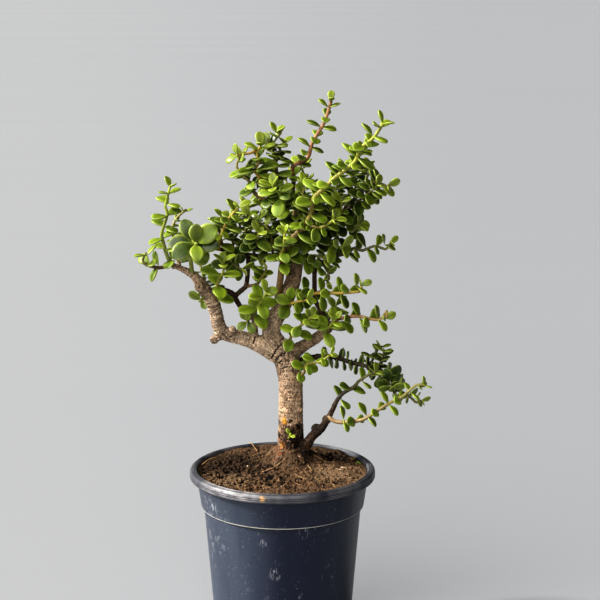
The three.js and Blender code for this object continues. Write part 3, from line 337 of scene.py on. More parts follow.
        Stem([(12, 33, 373), (7, 52, 383), (2, 68, 386), (6, 80, 393)], 1.8, 1.1, leaf=20.5, gap=13.5,
              turn=135, bare=5)]),
    Shoot("back_right", Tint.BROWN, 0.4, 0.8, [
        Stem([(16, 33, 389), (25, 52, 401), (33, 68, 408), (39, 80, 418)], 1.8, 1.1, leaf=15.5, gap=16,
              turn=150, bare=10)]),
    Shoot("back_top", Tint.BROWN, 0.4, 0.8, [
        Stem([(9, 31, 409), (11, 50, 418), (11, 64, 427), (3, 76, 448)], 1.8, 1.1, leaf=20.5, gap=21.5,
              turn=95, bare=6)]),
    Shoot("back_left", Tint.BROWN, 0.4, 0.8, [
        Stem([(-13, 28, 380), (-21, 46, 388), (-30, 60, 395), (-35, 70, 407)], 1.7, 1.1, leaf=20, gap=12.5,
              turn=65, bare=9)]),
    Shoot("back_low_right", Tint.BROWN, 0.4, 0.8, [
        Stem([(38, 18, 306), (43, 38, 314), (51, 52, 322), (52, 62, 325)], 1.8, 1.1, leaf=20.5, gap=11.5,
              turn=75, bare=12)]),
    Shoot("right_crown_up", Tint.BROWN, 0.4, 0.8, [
        Stem([(58, 36, 422), (64, 44, 434), (66, 50, 450), (73, 54, 453)], 1.6, 1, leaf=20.5, gap=14.5,
              turn=35, bare=8)]),
    Shoot("left_crown_back", Tint.BROWN, 0.35, 0.8, [
        Stem([(-56, 18, 389), (-60, 28, 402), (-61, 36, 414), (-59, 42, 419)], 1.6, 1, leaf=19, gap=10,
              turn=80, bare=10)]),
    Shoot("centre_left_front", Tint.BROWN, 0.45, 0.75, [
        Stem([(-8, 29, 380), (-10, 18, 391), (-10, 10, 403), (-16, 4, 416)], 1.5, 1, leaf=14, gap=7.5,
              turn=50, bare=7)]),
    Shoot("upper_left_low", Tint.BROWN, 0.5, 0.75, [
        Stem([(3, 28, 423), (-9, 20, 421), (-20, 14, 415), (-33, 8, 426)], 1.5, 1, leaf=20.5, gap=12,
              turn=40, bare=8)]),
    Shoot("leader_right_low", Tint.BROWN, 0.4, 0.75, [
        Stem([(14, 31, 377), (24, 24, 381), (32, 17, 384), (42, 11, 381)], 1.5, 1, leaf=17.5, gap=11.5,
              turn=75, bare=12)]),
    Shoot("left_crown_up", Tint.BROWN, 0.45, 0.75, [
        Stem([(-48, 20, 387), (-46, 16, 400), (-40, 14, 411), (-44, 12, 426)], 1.5, 1, leaf=20.5, gap=9.5,
              turn=15, bare=7)]),
]


# ---------------------------------------------------------------- routes
FINE_STEP = 2  # a route is smoothed in such steps before it is cut into longer ones
STEM_STEP = 25  # the spacing of the frames that leaves are hung on


def clamp(value: float) -> float:
    """Returns a value held between 0 and 1."""
    return min(max(value, 0.0), 1.0)


def ramp(value: float, *points: tuple[float, float]) -> float:
    """Returns the height of the line through (place, height) points at a value."""
    return float(np.interp(value, *zip(*points)))


def unit(vector: np.ndarray) -> np.ndarray:
    """Returns a vector at unit length."""
    return vector / np.linalg.norm(vector)


def square_to(along: np.ndarray, across: np.ndarray) -> np.ndarray:
    """Returns `across` without its part along the unit vector `along`, at unit length."""
    return unit(across - along * np.dot(across, along))


def smooth_line(route: Iterable[Point], step: float) -> np.ndarray:
    """Lays a Catmull-Rom line through a route.

    Args:
        route: Points, whose values past x, y and z, such as a radius, are carried along.
        step: About how far apart the line's points are.

    Returns:
        The line's points as rows.
    """
    points = np.array(list(route), float)
    last = len(points) - 1
    rows = [points[0]]
    for i in range(last):
        a, b, c, d = (points[min(max(k, 0), last)] for k in (i - 1, i, i + 1, i + 2))
        pieces = max(1, math.floor(np.linalg.norm((c - b)[:3]) / step + 0.5))
        for k in range(1, pieces + 1):
            t = k / pieces
            rows.append(0.5 * (2 * b + (c - a) * t + (2 * a - 5 * b + 4 * c - d) * t**2
                               + (3 * b - a - 3 * c + d) * t**3))
    return np.array(rows)


@dataclass(frozen=True)
class Frame:
    """A place on a route: its direction, a side that turns without twisting, and the length so far."""

    at: np.ndarray
    along: np.ndarray
    side: np.ndarray
    length: float
    radius: float

    @property
    def across(self) -> np.ndarray:
        """The unit vector square to the direction and the side."""
        return np.cross(self.along, self.side)

    def outward(self, bearing: float) -> np.ndarray:
        """Returns the unit vector that points out of the route at a bearing in degrees."""
        angle = math.radians(bearing)
        return self.side * math.cos(angle) + self.across * math.sin(angle)


def framed_line(line: np.ndarray) -> list[Frame]:
    """Gives each point of a line its frame.

    Args:
        line: Rows of x, y, z, radius.

    Returns:
        The frames in order.
    """
    frames: list[Frame] = []
    last = len(line) - 1
    for i, row in enumerate(line):
        at = row[:3]
        along = unit(line[min(i + 1, last)][:3] - line[max(i - 1, 0)][:3])
        steep = abs(along[1]) >= 0.8
        side = frames[-1].side if frames else np.array((0.0, 0.0, 1.0) if steep else (0.0, 1.0, 0.0))
        length = frames[-1].length + float(np.linalg.norm(at - frames[-1].at)) if frames else 0.0
        frames.append(Frame(at, along, square_to(along, side), length, float(row[3])))
    return frames


def frame_at(frames: Sequence[Frame], length: float) -> Frame:
    """Finds a place between two frames of a route.

    Args:
        frames: The route's frames.
        length: How far along the route the place is.

    Returns:
        The place's frame.
    """
    i = 1
    while i < len(frames) - 1 and frames[i].length < length:
        i += 1
    a, b = frames[i - 1], frames[i]
    t = clamp((length - a.length) / (b.length - a.length))
    along = unit(a.along + (b.along - a.along) * t)
    side = square_to(along, a.side + (b.side - a.side) * t)
    return Frame(a.at + (b.at - a.at) * t, along, side, length, a.radius + (b.radius - a.radius) * t)


def even_frames(route: Iterable[Point], step: float) -> list[Frame]:
    """Cuts a route into an even row of frames.

    Args:
        route: Points of x, y, z, radius.
        step: About how far apart the frames are.

    Returns:
        The frames in order.
    """
    fine = framed_line(smooth_line(route, FINE_STEP))
    total = fine[-1].length
    rows = max(2, math.floor(total / step + 0.5))
    places = [frame_at(fine, total * i / rows) for i in range(rows + 1)]
    return framed_line(np.array([[*place.at, place.radius] for place in places]))


def root_limb(bearing: float, reach: float, radius: float) -> Limb:
    """Makes a root that comes down the trunk's foot and dives into the soil.

    Args:
        bearing: Its way from the trunk, in degrees.
        reach: How far it runs.
        radius: Its radius at the trunk.

    Returns:
        The root's limb.
    """
    cos, sin = math.cos(math.radians(bearing)), math.sin(math.radians(bearing))
    return Limb([(TRUNK_FOOT[0] + cos * reach * share, TRUNK_FOOT[1] + sin * reach * share,
                  SOIL_EDGE + height, radius * thickness) for share, height, thickness in ROOT_COURSE],
                Bark.BROWN)


ALL_LIMBS = LIMBS + [root_limb(*root) for root in SURFACE_ROOTS]


# ---------------------------------------------------------------- where the leaves grow
@dataclass(frozen=True)
class LeafRule:
    """How leaves stand on a stem and keep clear of each other."""

    width: float = 0.74
    thickness: float = 0.3
    arch: float = 0.17
    stations: tuple = (0, 0.55, 0.97)
    half_widths: tuple = (0, 1, 0.6)
    crest: float = 0.62
    free_share: float = 0.2
    rise: float = 14
    tip_rise: float = 40
    tip_shrink: float = 0.32
    tip_gap_shrink: float = 0.45
    tip_pairs: float = 2.2
    stem_end: float = 0.8
    tip_room: float = 3.5
    light: tuple = (-0.15, -0.6, 0.8)
    light_pull: float = 0.45
    clearance: float = 0.75
    own_clearance: float = 0.1
    stem_clearance: float = 0.7
    stem_piece: float = 6
    size_chance: float = 0.16
    rise_chance: float = 10
    bearing_chance: float = 16
    lean_chance: float = 14
    mate_chance: float = 0.12
    filler_youth: float = 0.1
    first_seed: int = 101
    seed_step: int = 17


RULE = LeafRule()
# Where a leaf is tried against its neighbours, as (share along it, share across it).
LEAF_SAMPLES = [(0.3, 0), (0.5, -0.85), (0.5, 0), (0.5, 0.85), (0.7, -0.9), (0.7, 0), (0.7, 0.9), (0.9, -0.9),
                (0.9, 0), (0.9, 0.9), (1, 0)]
# Ways to place a leaf, tried in turn: swing round the stem, added rise, size.
TRIES = [(0, 0, 1), (16, 0, 1), (-16, 0, 1), (0, 18, 1), (0, -16, 0.95), (32, 0, 0.95), (-32, 0, 0.95),
         (20, 20, 0.85), (-20, 20, 0.85), (0, 36, 0.8), (0, 0, 0.72), (40, 10, 0.7), (-40, 10, 0.7),
         (0, 30, 0.6)]
MOST_LEAVES = 3000


class Draw:
    """A seeded row of numbers from -0.5 to 0.5."""

    def __init__(self, seed: int) -> None:
        """Starts the row at a seed."""
        self.state = seed

    def __call__(self) -> float:
        """Returns the next number."""
        self.state = (self.state * 1664525 + 1013904223) % 2**32
        return self.state / 2**32 - 0.5

    def between(self, low: float, high: float) -> float:
        """Returns the next number, stretched to lie from low to high."""
        return low + (high - low) * (self() + 0.5)


@dataclass(frozen=True)
class Leaf:
    """A leaf's root, its three directions, its length, and how young it is, from 0 to 1."""

    root: np.ndarray
    along: np.ndarray
    up: np.ndarray
    across: np.ndarray
    length: float
    young: float

    def point(self, share: float, across: float = 0) -> np.ndarray:
        """Finds a point of the leaf's middle layer.

        Args:
            share: How far along the leaf it is, from 0 to 1.
            across: How far across, from -1 to 1.

        Returns:
            The point.
        """
        half = float(np.interp(share, RULE.stations, RULE.half_widths)) * self.length / 2
        bend = RULE.arch * self.length * share * share
        return (self.root + self.along * share * self.length + self.across * across * half * RULE.width
                - self.up * bend)

    @property
    def middle(self) -> np.ndarray:
        """The point where the leaf is thickest."""
        return self.point(RULE.crest)

    @property
    def axes(self) -> tuple:
        """The leaf's root and three directions."""
        return self.root, self.along, self.up, self.across

    def samples(self) -> np.ndarray:
        """Returns the points that the leaf is tried on."""
        return np.array([self.point(*sample) for sample in LEAF_SAMPLES])


def make_leaf(place: Frame, out: np.ndarray, rise: float, length: float, young: float) -> Leaf:
    """Makes a leaf of a pair that faces up the stem and a little to the light.

    Args:
        place: Where on the stem it grows.
        out: The way out of the stem.
        rise: Degrees from square to the stem towards its tip.
        length: The leaf's length.
        young: How young it is, from 0 to 1.

    Returns:
        The leaf.
    """
    angle = math.radians(rise)
    facing = unit(place.along + unit(np.array(RULE.light)) * RULE.light_pull)
    along = square_to(facing, out) * math.cos(angle) + facing * math.sin(angle)
    up = square_to(along, facing)
    return Leaf(place.at, along, up, np.cross(up, along), length, young)


class Thicket:
    """All stems and the leaves grown so far, kept as arrays so that a new leaf is tried quickly."""

    def __init__(self, limbs: Sequence[Limb], shoots: Sequence[Shoot]) -> None:
        """Lays out the pieces of wood and stems that leaves keep clear of.

        Args:
            limbs: The old wood.
            shoots: The leafy shoots; a shoot's number is its owner number.
        """
        owned = [(limb.route, -1) for limb in limbs]
        owned += [(stem.course(), i) for i, shoot in enumerate(shoots) for stem in shoot.stems]
        lines = [smooth_line(route, RULE.stem_piece) for route, _ in owned]
        self.starts = np.concatenate([line[:-1, :3] for line in lines])
        self.ends = np.concatenate([line[1:, :3] for line in lines])
        self.radii = np.concatenate([np.maximum(line[:-1, 3], line[1:, 3]) for line in lines])
        self.owners = np.concatenate([np.full(len(line) - 1, i) for line, (_, i) in zip(lines, owned)])
        self.leaves: list[list[Leaf]] = [[] for _ in shoots]
        self.count = 0
        self.axes = np.zeros((MOST_LEAVES, 4, 3))
        self.middles = np.zeros((MOST_LEAVES, 3))
        self.samples = np.zeros((MOST_LEAVES, len(LEAF_SAMPLES), 3))
        self.lengths = np.zeros(MOST_LEAVES)
        self.leaf_owners = np.zeros(MOST_LEAVES, int)

    def add(self, leaf: Leaf, samples: np.ndarray, owner: int) -> None:
        """Keeps a leaf that found its place.

        Args:
            leaf: The leaf.
            samples: The points that it is tried on.
            owner: The number of its shoot.
        """
        i = self.count
        self.axes[i], self.middles[i], self.samples[i] = leaf.axes, leaf.middle, samples
        self.lengths[i], self.leaf_owners[i] = leaf.length, owner
        self.leaves[owner].append(leaf)
        self.count += 1

    def meets_stem(self, leaf: Leaf, samples: np.ndarray, owner: int) -> bool:
        """Tells whether a leaf comes too near another shoot's stem or the wood.

        Args:
            leaf: The leaf.
            samples: The points that it is tried on.
            owner: The number of its shoot.

        Returns:
            True if it is too near.
        """
        limits = self.radii + RULE.stem_clearance + leaf.length * RULE.thickness / 3
        reach = leaf.length * RULE.crest + limits + RULE.stem_piece
        near = np.linalg.norm(self.starts - leaf.middle, axis=1) <= reach
        near &= self.owners != owner
        starts, spans = self.starts[near], self.ends[near] - self.starts[near]
        offsets = samples[None] - starts[:, None]
        shares = np.einsum("nsk,nk->ns", offsets, spans) / np.einsum("nk,nk->n", spans, spans)[:, None]
        nearest = starts[:, None] + np.clip(shares, 0, 1)[..., None] * spans[:, None]
        gaps = np.linalg.norm(samples[None] - nearest, axis=2)
        return bool((gaps < limits[near][:, None]).any())

    @staticmethod
    def holds(axes: np.ndarray, lengths: np.ndarray, points: np.ndarray, clearance: np.ndarray) -> bool:
        """Tells whether any leaf of a row comes too near any of its points.

        Args:
            axes: For each leaf its root and three directions.
            lengths: The leaves' lengths.
            points: For each leaf the points that it is tried on.
            clearance: For each leaf the distance to keep.

        Returns:
            True if a point is too near.
        """
        offsets = points - axes[:, None, 0]
        along, up, across = (np.einsum("nsk,nk->ns", offsets, axes[:, i]) for i in (1, 2, 3))
        length, keep = lengths[:, None], clearance[:, None]
        share = along / length
        half = length / 2
        inside = (share >= RULE.free_share - keep / length) & (share <= 1 + keep / length)
        inside &= np.abs(up + RULE.arch * length * share**2) <= half * RULE.thickness + keep
        width = np.interp(share, RULE.stations, RULE.half_widths)
        inside &= np.abs(across) < half * RULE.width * width + keep
        return bool(inside.any())

    def meets_leaf(self, leaf: Leaf, samples: np.ndarray, owner: int, count: int) -> bool:
        """Tells whether a leaf comes too near one of the first leaves.

        Args:
            leaf: The leaf.
            samples: The points that it is tried on.
            owner: The number of its shoot.
            count: How many leaves it is tried against.

        Returns:
            True if it is too near.
        """
        own = self.leaf_owners[:count] == owner
        clearance = np.where(own, RULE.own_clearance, RULE.clearance)
        reach = RULE.crest * (self.lengths[:count] + leaf.length) + clearance
        near = np.linalg.norm(self.middles[:count] - leaf.middle, axis=1) <= reach
        if not near.any():
            return False
        keep = clearance[near]
        size = len(keep)
        axes = np.broadcast_to(np.array(leaf.axes), (size, 4, 3))
        if self.holds(axes, np.full(size, leaf.length), self.samples[:count][near], keep):
            return True
        points = np.broadcast_to(samples, (size, *samples.shape))
        return self.holds(self.axes[:count][near], self.lengths[:count][near], points, keep)

    def place(self, spot: Frame, bearing: float, rise: float, length: float, young: float, owner: int,
              count: int) -> None:
        """Tries the ways to place a leaf and keeps the first that is clear.

        Args:
            spot: Where on the stem it grows.
            bearing: Its bearing round the stem.
            rise: Its rise towards the stem's tip.
            length: Its length.
            young: How young it is.
            owner: The number of its shoot.
            count: How many leaves it is tried against.
        """
        for swing, lift, scale in TRIES:
            leaf = make_leaf(spot, spot.outward(bearing + swing), rise + lift, length * scale, young)
            samples = leaf.samples()
            if not (self.meets_stem(leaf, samples, owner) or self.meets_leaf(leaf, samples, owner, count)):
                self.add(leaf, samples, owner)
                return

    @staticmethod
    def young_at(stem: Stem, total: float, along: float) -> float:
        """Returns how young a pair is at a length along a stem, from 0 to 1."""
        return clamp(1 - (total - along) / (RULE.tip_pairs * stem.gap))

    def places(self, stem: Stem, total: float) -> list[float]:
        """Finds where the pairs of a stem grow.

        Args:
            stem: The stem.
            total: Its length.

        Returns:
            The pairs' lengths along the stem.
        """
        places = [float(stem.bare)]
        while True:
            last = places[-1]
            along = last + stem.gap * (1 - RULE.tip_gap_shrink * self.young_at(stem, total, last))
            if along >= total - RULE.stem_end:
                break
            places.append(along)
        return places + ([total - RULE.stem_end] if total - places[-1] > RULE.tip_room else [])

    def grow(self, stem: Stem, seed: int, owner: int) -> None:
        """Grows a stem's crossed pairs, smaller, closer and steeper towards its tip.

        Args:
            stem: The stem.
            seed: Where its row of random numbers starts.
            owner: The number of its shoot.
        """
        draw = Draw(seed)
        frames = even_frames(stem.course(), STEM_STEP)
        total = frames[-1].length
        for pair, along in enumerate(self.places(stem, total)):
            young = self.young_at(stem, total, along)
            size = stem.leaf * (1 - RULE.tip_shrink * young) * (1 + RULE.size_chance * draw())
            rise = RULE.rise + RULE.tip_rise * young * young + RULE.rise_chance * draw()
            bearing = stem.turn + stem.cross * pair + RULE.bearing_chance * draw()
            spot, count = frame_at(frames, along), self.count
            for half in (0, 180):
                lean, mate = RULE.lean_chance * draw(), 1 + RULE.mate_chance * draw()
                self.place(spot, bearing + half, rise + lean, size * mate, young, owner, count)

    def fill(self, stem: Stem, seed: int, owner: int, share: float) -> None:
        """Grows smaller leaves half-way between a stem's pairs.

        Args:
            stem: The stem.
            seed: Where its row of random numbers starts.
            owner: The number of its shoot.
            share: Their size, of the pairs' own.
        """
        draw = Draw(seed)
        frames = even_frames(stem.course(), STEM_STEP)
        along, pair = stem.bare + stem.gap / 2, 0.5
        while along < frames[-1].length - stem.gap:
            bearing = stem.turn + stem.cross * pair + RULE.bearing_chance * draw()
            for half in (0, 180):
                length = stem.leaf * share * (1 + RULE.size_chance * draw())
                rise = RULE.rise + RULE.lean_chance * draw()
                self.place(frame_at(frames, along), bearing + half, rise, length, RULE.filler_youth, owner,
                           self.count)
            along += stem.gap
            pair += 1


# ---------------------------------------------------------------- mesh tools
CAP_REACH, CAP_SIZE = 0.45, 0.6  # how far out a tube's last ring lies and how wide it is, of the radius


def stand(name: str, shape: Shape) -> bpy.types.Object:
    """Makes a bmesh into an object of the scene.

    Args:
        name: The object's name.
        shape: The bmesh, which is freed.

    Returns:
        The new object.
    """
    mesh = bpy.data.meshes.new(name)
    shape.to_mesh(mesh)
    shape.free()
    made = bpy.data.objects.new(name, mesh)
    bpy.context.scene.collection.objects.link(made)
    return made


def finish_piece(name: str, shape: Shape, finishes: Sequence[Finish], slot: str,
                 *nodes: str) -> bpy.types.Object:
    """Makes a bmesh in millimetres into a piece of the object.

    Args:
        name: The piece's name.
        shape: Its mesh, which is freed.
        finishes: Its materials, in the order of the faces' material numbers.
        slot: A slot's name; not used.
        *nodes: The CAD nodes that it stands for.

    Returns:
        The new object.
    """
    bmesh.ops.scale(shape, vec=(MM, MM, MM), verts=shape.verts)
    for face in shape.faces:
        face.smooth = True
    piece = stand(name, shape)
    for finish in finishes:
        piece.data.materials.append(finish)
    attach(piece, BODY)
    if nodes:
        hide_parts(*nodes)
    log.info("%s: %d faces, stands for %s", name, len(piece.data.polygons), ", ".join(nodes) or "no node")
    return piece


def apply_modifiers(piece: bpy.types.Object) -> None:
    """Replaces a piece's mesh by the one that its modifiers make, and takes them off.

    Args:
        piece: The piece.
    """
    graph = bpy.context.evaluated_depsgraph_get()
    made = bpy.data.meshes.new_from_object(piece.evaluated_get(graph), depsgraph=graph)
    piece.modifiers.clear()
    before, piece.data = piece.data, made
    bpy.data.meshes.remove(before)


def pull_edges(shape: Shape, edges: list) -> tuple[list, list]:
    """Extrudes a ring of edges where it lies.

    Args:
        shape: The bmesh.
        edges: The ring's edges.

    Returns:
        The new ring's vertices and edges.
    """
    pulled = bmesh.ops.extrude_edge_only(shape, edges=edges)["geom"]
    ring = [item for item in pulled if isinstance(item, bmesh.types.BMVert)]
    fresh = set(ring)
    return ring, [item for item in pulled if isinstance(item, bmesh.types.BMEdge)
                  and all(vertex in fresh for vertex in item.verts)]


def frame_matrix(place: Frame, radius: float) -> Matrix:
    """Returns the matrix that lays a unit circle square to a route, at a radius."""
    turn = Matrix((place.side, place.across, place.along)).transposed().to_4x4()
    return Matrix.Translation(place.at) @ turn @ Matrix.Diagonal((radius, radius, radius, 1))


def sweep(shape: Shape, frames: Sequence[Frame], sides: int,
          radius_at: Callable[[Frame], float] = lambda place: place.radius) -> list[bmesh.types.BMVert]:
    """Adds a closed tube with rounded ends along a row of frames.

    Args:
        shape: The bmesh that it is added to.
        frames: Where its rings lie.
        sides: How many sides it has.
        radius_at: The radius at a frame, where it isn't the frame's own.

    Returns:
        The tube's vertices, ring by ring.
    """
    caps = []
    for end, way in ((frames[0], -1), (frames[-1], 1)):
        radius = radius_at(end)
        caps.append(frame_matrix(replace(end, at=end.at + end.along * way * radius * CAP_REACH),
                                 radius * CAP_SIZE))
    rings = [caps[0], *(frame_matrix(place, radius_at(place)) for place in frames), caps[1]]
    made = bmesh.ops.create_circle(shape, segments=sides, radius=1, cap_ends=True)["verts"]
    bmesh.ops.transform(shape, matrix=rings[0], verts=made)
    vertices = list(made)
    edges = list({edge for vertex in made for edge in vertex.link_edges})
    for before, after in zip(rings, rings[1:]):
        ring, edges = pull_edges(shape, edges)
        bmesh.ops.transform(shape, matrix=after @ before.inverted(), verts=ring)
        vertices += ring
    bmesh.ops.contextual_create(shape, geom=edges)
    return vertices


# ---------------------------------------------------------------- shader tools
def linear(code: str) -> tuple[float, float, float, float]:
    """Turns a colour written as #rrggbb into Blender's linear one."""
    parts = [int(code[i:i + 2], 16) / 255 for i in (1, 3, 5)]
    return (*[c / 12.92 if c <= 0.04045 else ((c + 0.055) / 1.055) ** 2.4 for c in parts], 1.0)


class Wiring:
    """Adds nodes to one shader tree and joins them."""

    def __init__(self, tree: bpy.types.NodeTree) -> None:
        """Starts with a tree."""
        self.tree = tree

    def feed(self, socket: Socket, value: object) -> None:
        """Links an output to a socket, or sets the socket's own value.

        Args:
            socket: The input.
            value: An output, or a value, which for a colour may be #rrggbb.
        """
        if isinstance(value, bpy.types.NodeSocket):
            self.tree.links.new(value, socket)
        else:
            socket.default_value = linear(value) if isinstance(value, str) else value

    def node(self, kind: str, feeds: dict | None = None, **settings: object) -> bpy.types.Node:
        """Adds a node.

        Args:
            kind: Its type.
            feeds: What goes to its inputs, by their names or numbers.
            **settings: Its own settings.

        Returns:
            The node.
        """
        made = self.tree.nodes.new(kind)
        for name, value in settings.items():
            setattr(made, name, value)
        for name, value in (feeds or {}).items():
            self.feed(made.inputs[name], value)
        return made

    def place(self, stretch: Point = (1, 1, 1), layer: str = "") -> Socket:
        """Finds the place on the object, in metres.

        Args:
            stretch: What the place is multiplied by along each axis.
            layer: The mesh layer that keeps the place, if not the object itself.

        Returns:
            The place.
        """
        if layer:
            spot = self.node("ShaderNodeAttribute", attribute_name=layer).outputs["Vector"]
        else:
            spot = self.node("ShaderNodeTexCoord").outputs["Object"]
        if tuple(stretch) == (1, 1, 1):
            return spot
        return self.node("ShaderNodeMapping", {"Vector": spot, "Scale": stretch}).outputs["Vector"]

    def axes(self) -> Iterable[Socket]:
        """Returns the place's x, y and z."""
        return self.node("ShaderNodeSeparateXYZ", {0: self.place()}).outputs

    def kept(self, layer: str) -> Socket:
        """Returns a value that a mesh layer keeps."""
        return self.node("ShaderNodeAttribute", attribute_name=layer).outputs["Fac"]

    def mix(self, share: object, first: object, second: object) -> Socket:
        """Mixes two colours by a share."""
        return self.node("ShaderNodeMix", {0: share, 6: first, 7: second}, data_type="RGBA").outputs[2]

    def math(self, operation: str, first: object, second: object = 0.0, clamped: bool = False) -> Socket:
        """Works out one value from two."""
        return self.node("ShaderNodeMath", {0: first, 1: second}, operation=operation,
                         use_clamp=clamped).outputs[0]

    def times(self, *values: object) -> Socket:
        """Multiplies values."""
        return reduce(partial(self.math, "MULTIPLY"), values)

    def most(self, *values: object) -> Socket:
        """Returns the highest of some values."""
        return reduce(partial(self.math, "MAXIMUM"), values)

    def span(self, value: object, low: object, high: object, to_low: float = 0, to_high: float = 1) -> Socket:
        """Maps a value from low..high to to_low..to_high, smoothly and clamped."""
        feeds = {"Value": value, "From Min": low, "From Max": high, "To Min": to_low, "To Max": to_high}
        return self.node("ShaderNodeMapRange", feeds, interpolation_type="SMOOTHSTEP").outputs[0]

    def near(self, x: float, y: float, z: float, inner: float, outer: float) -> Socket:
        """Finds what lies near a place, all in millimetres.

        Args:
            x: The place's x.
            y: The place's y.
            z: The place's z.
            inner: How far from it the mask is 1.
            outer: From where on the mask is 0.

        Returns:
            The mask.
        """
        gap = self.node("ShaderNodeVectorMath", {0: self.place(), 1: (x * MM, y * MM, z * MM)},
                        operation="DISTANCE").outputs["Value"]
        return self.span(gap, inner * MM, outer * MM, 1, 0)

    def line_at(self, value: Socket, spot: float) -> Socket:
        """Returns a line, 1 where a value in metres is at a spot in millimetres and 0 away from it."""
        gap = self.math("ABSOLUTE", self.math("SUBTRACT", value, spot * MM))
        return self.span(gap, LINE_CORE * MM, LINE_HALF * MM, 1, 0)

    def bump(self, height: object, strength: float, distance: float) -> Socket:
        """Turns a height into a normal; `distance` is in millimetres."""
        return self.node("ShaderNodeBump", {"Strength": strength, "Distance": distance * MM,
                                            "Height": height}).outputs["Normal"]


def new_group(name: str, numbers: Sequence[str],
              build: Callable[[Wiring, dict], Socket]) -> bpy.types.NodeTree:
    """Makes a shader node group that puts out a mask.

    Args:
        name: Its name.
        numbers: The names of its inputs, beside the Vector.
        build: Wires the inner nodes from the group's inputs and returns the mask.

    Returns:
        The group.
    """
    group = bpy.data.node_groups.new(name, "ShaderNodeTree")
    group.interface.new_socket(name="Vector", in_out="INPUT", socket_type="NodeSocketVector")
    for label in numbers:
        group.interface.new_socket(name=label, in_out="INPUT", socket_type="NodeSocketFloat")
    group.interface.new_socket(name="Mask", in_out="OUTPUT", socket_type="NodeSocketFloat")
    wiring = Wiring(group)
    wiring.node("NodeGroupOutput", {0: build(wiring, wiring.node("NodeGroupInput").outputs)})
    return group


def build_mottle(wiring: Wiring, given: dict) -> Socket:
    """Wires soft-edged patches: noise cut between two levels.

    Args:
        wiring: The group's wiring.
        given: The group's inputs.

    Returns:
        The mask.
    """
    speckle = wiring.node("ShaderNodeTexNoise", {name: given[name] for name in ("Vector", "Scale", "Detail")})
    return wiring.span(speckle.outputs[0], given["Low"], given["High"])


def build_cracks(wiring: Wiring, given: dict) -> Socket:
    """Wires thin broken lines between cells, warped by noise.

    Args:
        wiring: The group's wiring.
        given: The group's inputs.

    Returns:
        The mask.
    """
    place, scale = given["Vector"], given["Scale"]
    warp = wiring.node("ShaderNodeTexNoise", {"Vector": place, "Scale": scale}).outputs[1]
    shifted = wiring.node("ShaderNodeVectorMath", {0: warp, 1: CRACK_WARP, 2: place},
                          operation="MULTIPLY_ADD")
    cells = wiring.node("ShaderNodeTexVoronoi", {"Vector": shifted.outputs[0], "Scale": scale},
                        feature="DISTANCE_TO_EDGE")
    return wiring.span(cells.outputs["Distance"], 0, given["Width"], 1, 0)


LINE_CORE, LINE_HALF = 0.1, 0.45  # how far from its middle a line is full, and where it ends
CRACK_WARP = (0.003, 0.003, 0.003)  # how far, in metres, noise shifts the cells of the cracks
MOTTLE = new_group("mottle", ("Scale", "Detail", "Low", "High"), build_mottle)
CRACKS = new_group("cracks", ("Scale", "Width"), build_cracks)


class Coat(Wiring):
    """A material that is being made: its wiring, its one Principled shader and its colour so far."""

    def __init__(self, name: str, **plain: object) -> None:
        """Makes the material.

        Args:
            name: The material's name.
            **plain: Plain values for the shader's own sockets, with _ for each space.
        """
        self.material = bpy.data.materials.new(name)
        self.material.use_nodes = True
        super().__init__(self.material.node_tree)
        self.shader = self.tree.nodes["Principled BSDF"]
        self.colour: object = None
        for label, value in plain.items():
            self.shader.inputs[label.replace("_", " ")].default_value = value

    def use(self, group: bpy.types.NodeTree, **values: object) -> Socket:
        """Places a node group and returns its mask."""
        return self.node("ShaderNodeGroup", values, node_tree=group).outputs["Mask"]

    def mottle(self, scale: float, low: float, high: float, detail: float = 3,
               stretch: Point = (1, 1, 1), layer: str = "") -> Socket:
        """Returns a mask of patches; `scale` is how many fit in a metre."""
        return self.use(MOTTLE, Vector=self.place(stretch, layer), Scale=scale, Detail=detail, Low=low,
                        High=high)

    def cracks(self, scale: float, width: float, stretch: Point = (1, 1, 1), layer: str = "") -> Socket:
        """Returns a mask of thin lines; `scale` is how many cells fit in a metre."""
        return self.use(CRACKS, Vector=self.place(stretch, layer), Scale=scale, Width=width)

    def paint(self, share: Socket, colour: object, strength: float = 1) -> None:
        """Lays a colour over what is there, by a share times a strength."""
        self.colour = self.mix(share if strength == 1 else self.times(share, strength), self.colour, colour)

    def finish(self, roughness: Socket, normal: Socket | None = None) -> Finish:
        """Joins the colour, the roughness and a normal to the shader.

        Args:
            roughness: The roughness.
            normal: The normal, if the surface has relief.

        Returns:
            The material.
        """
        self.feed(self.shader.inputs["Base Color"], self.colour)
        self.feed(self.shader.inputs["Roughness"], roughness)
        if normal is not None:
            self.feed(self.shader.inputs["Normal"], normal)
        return self.material


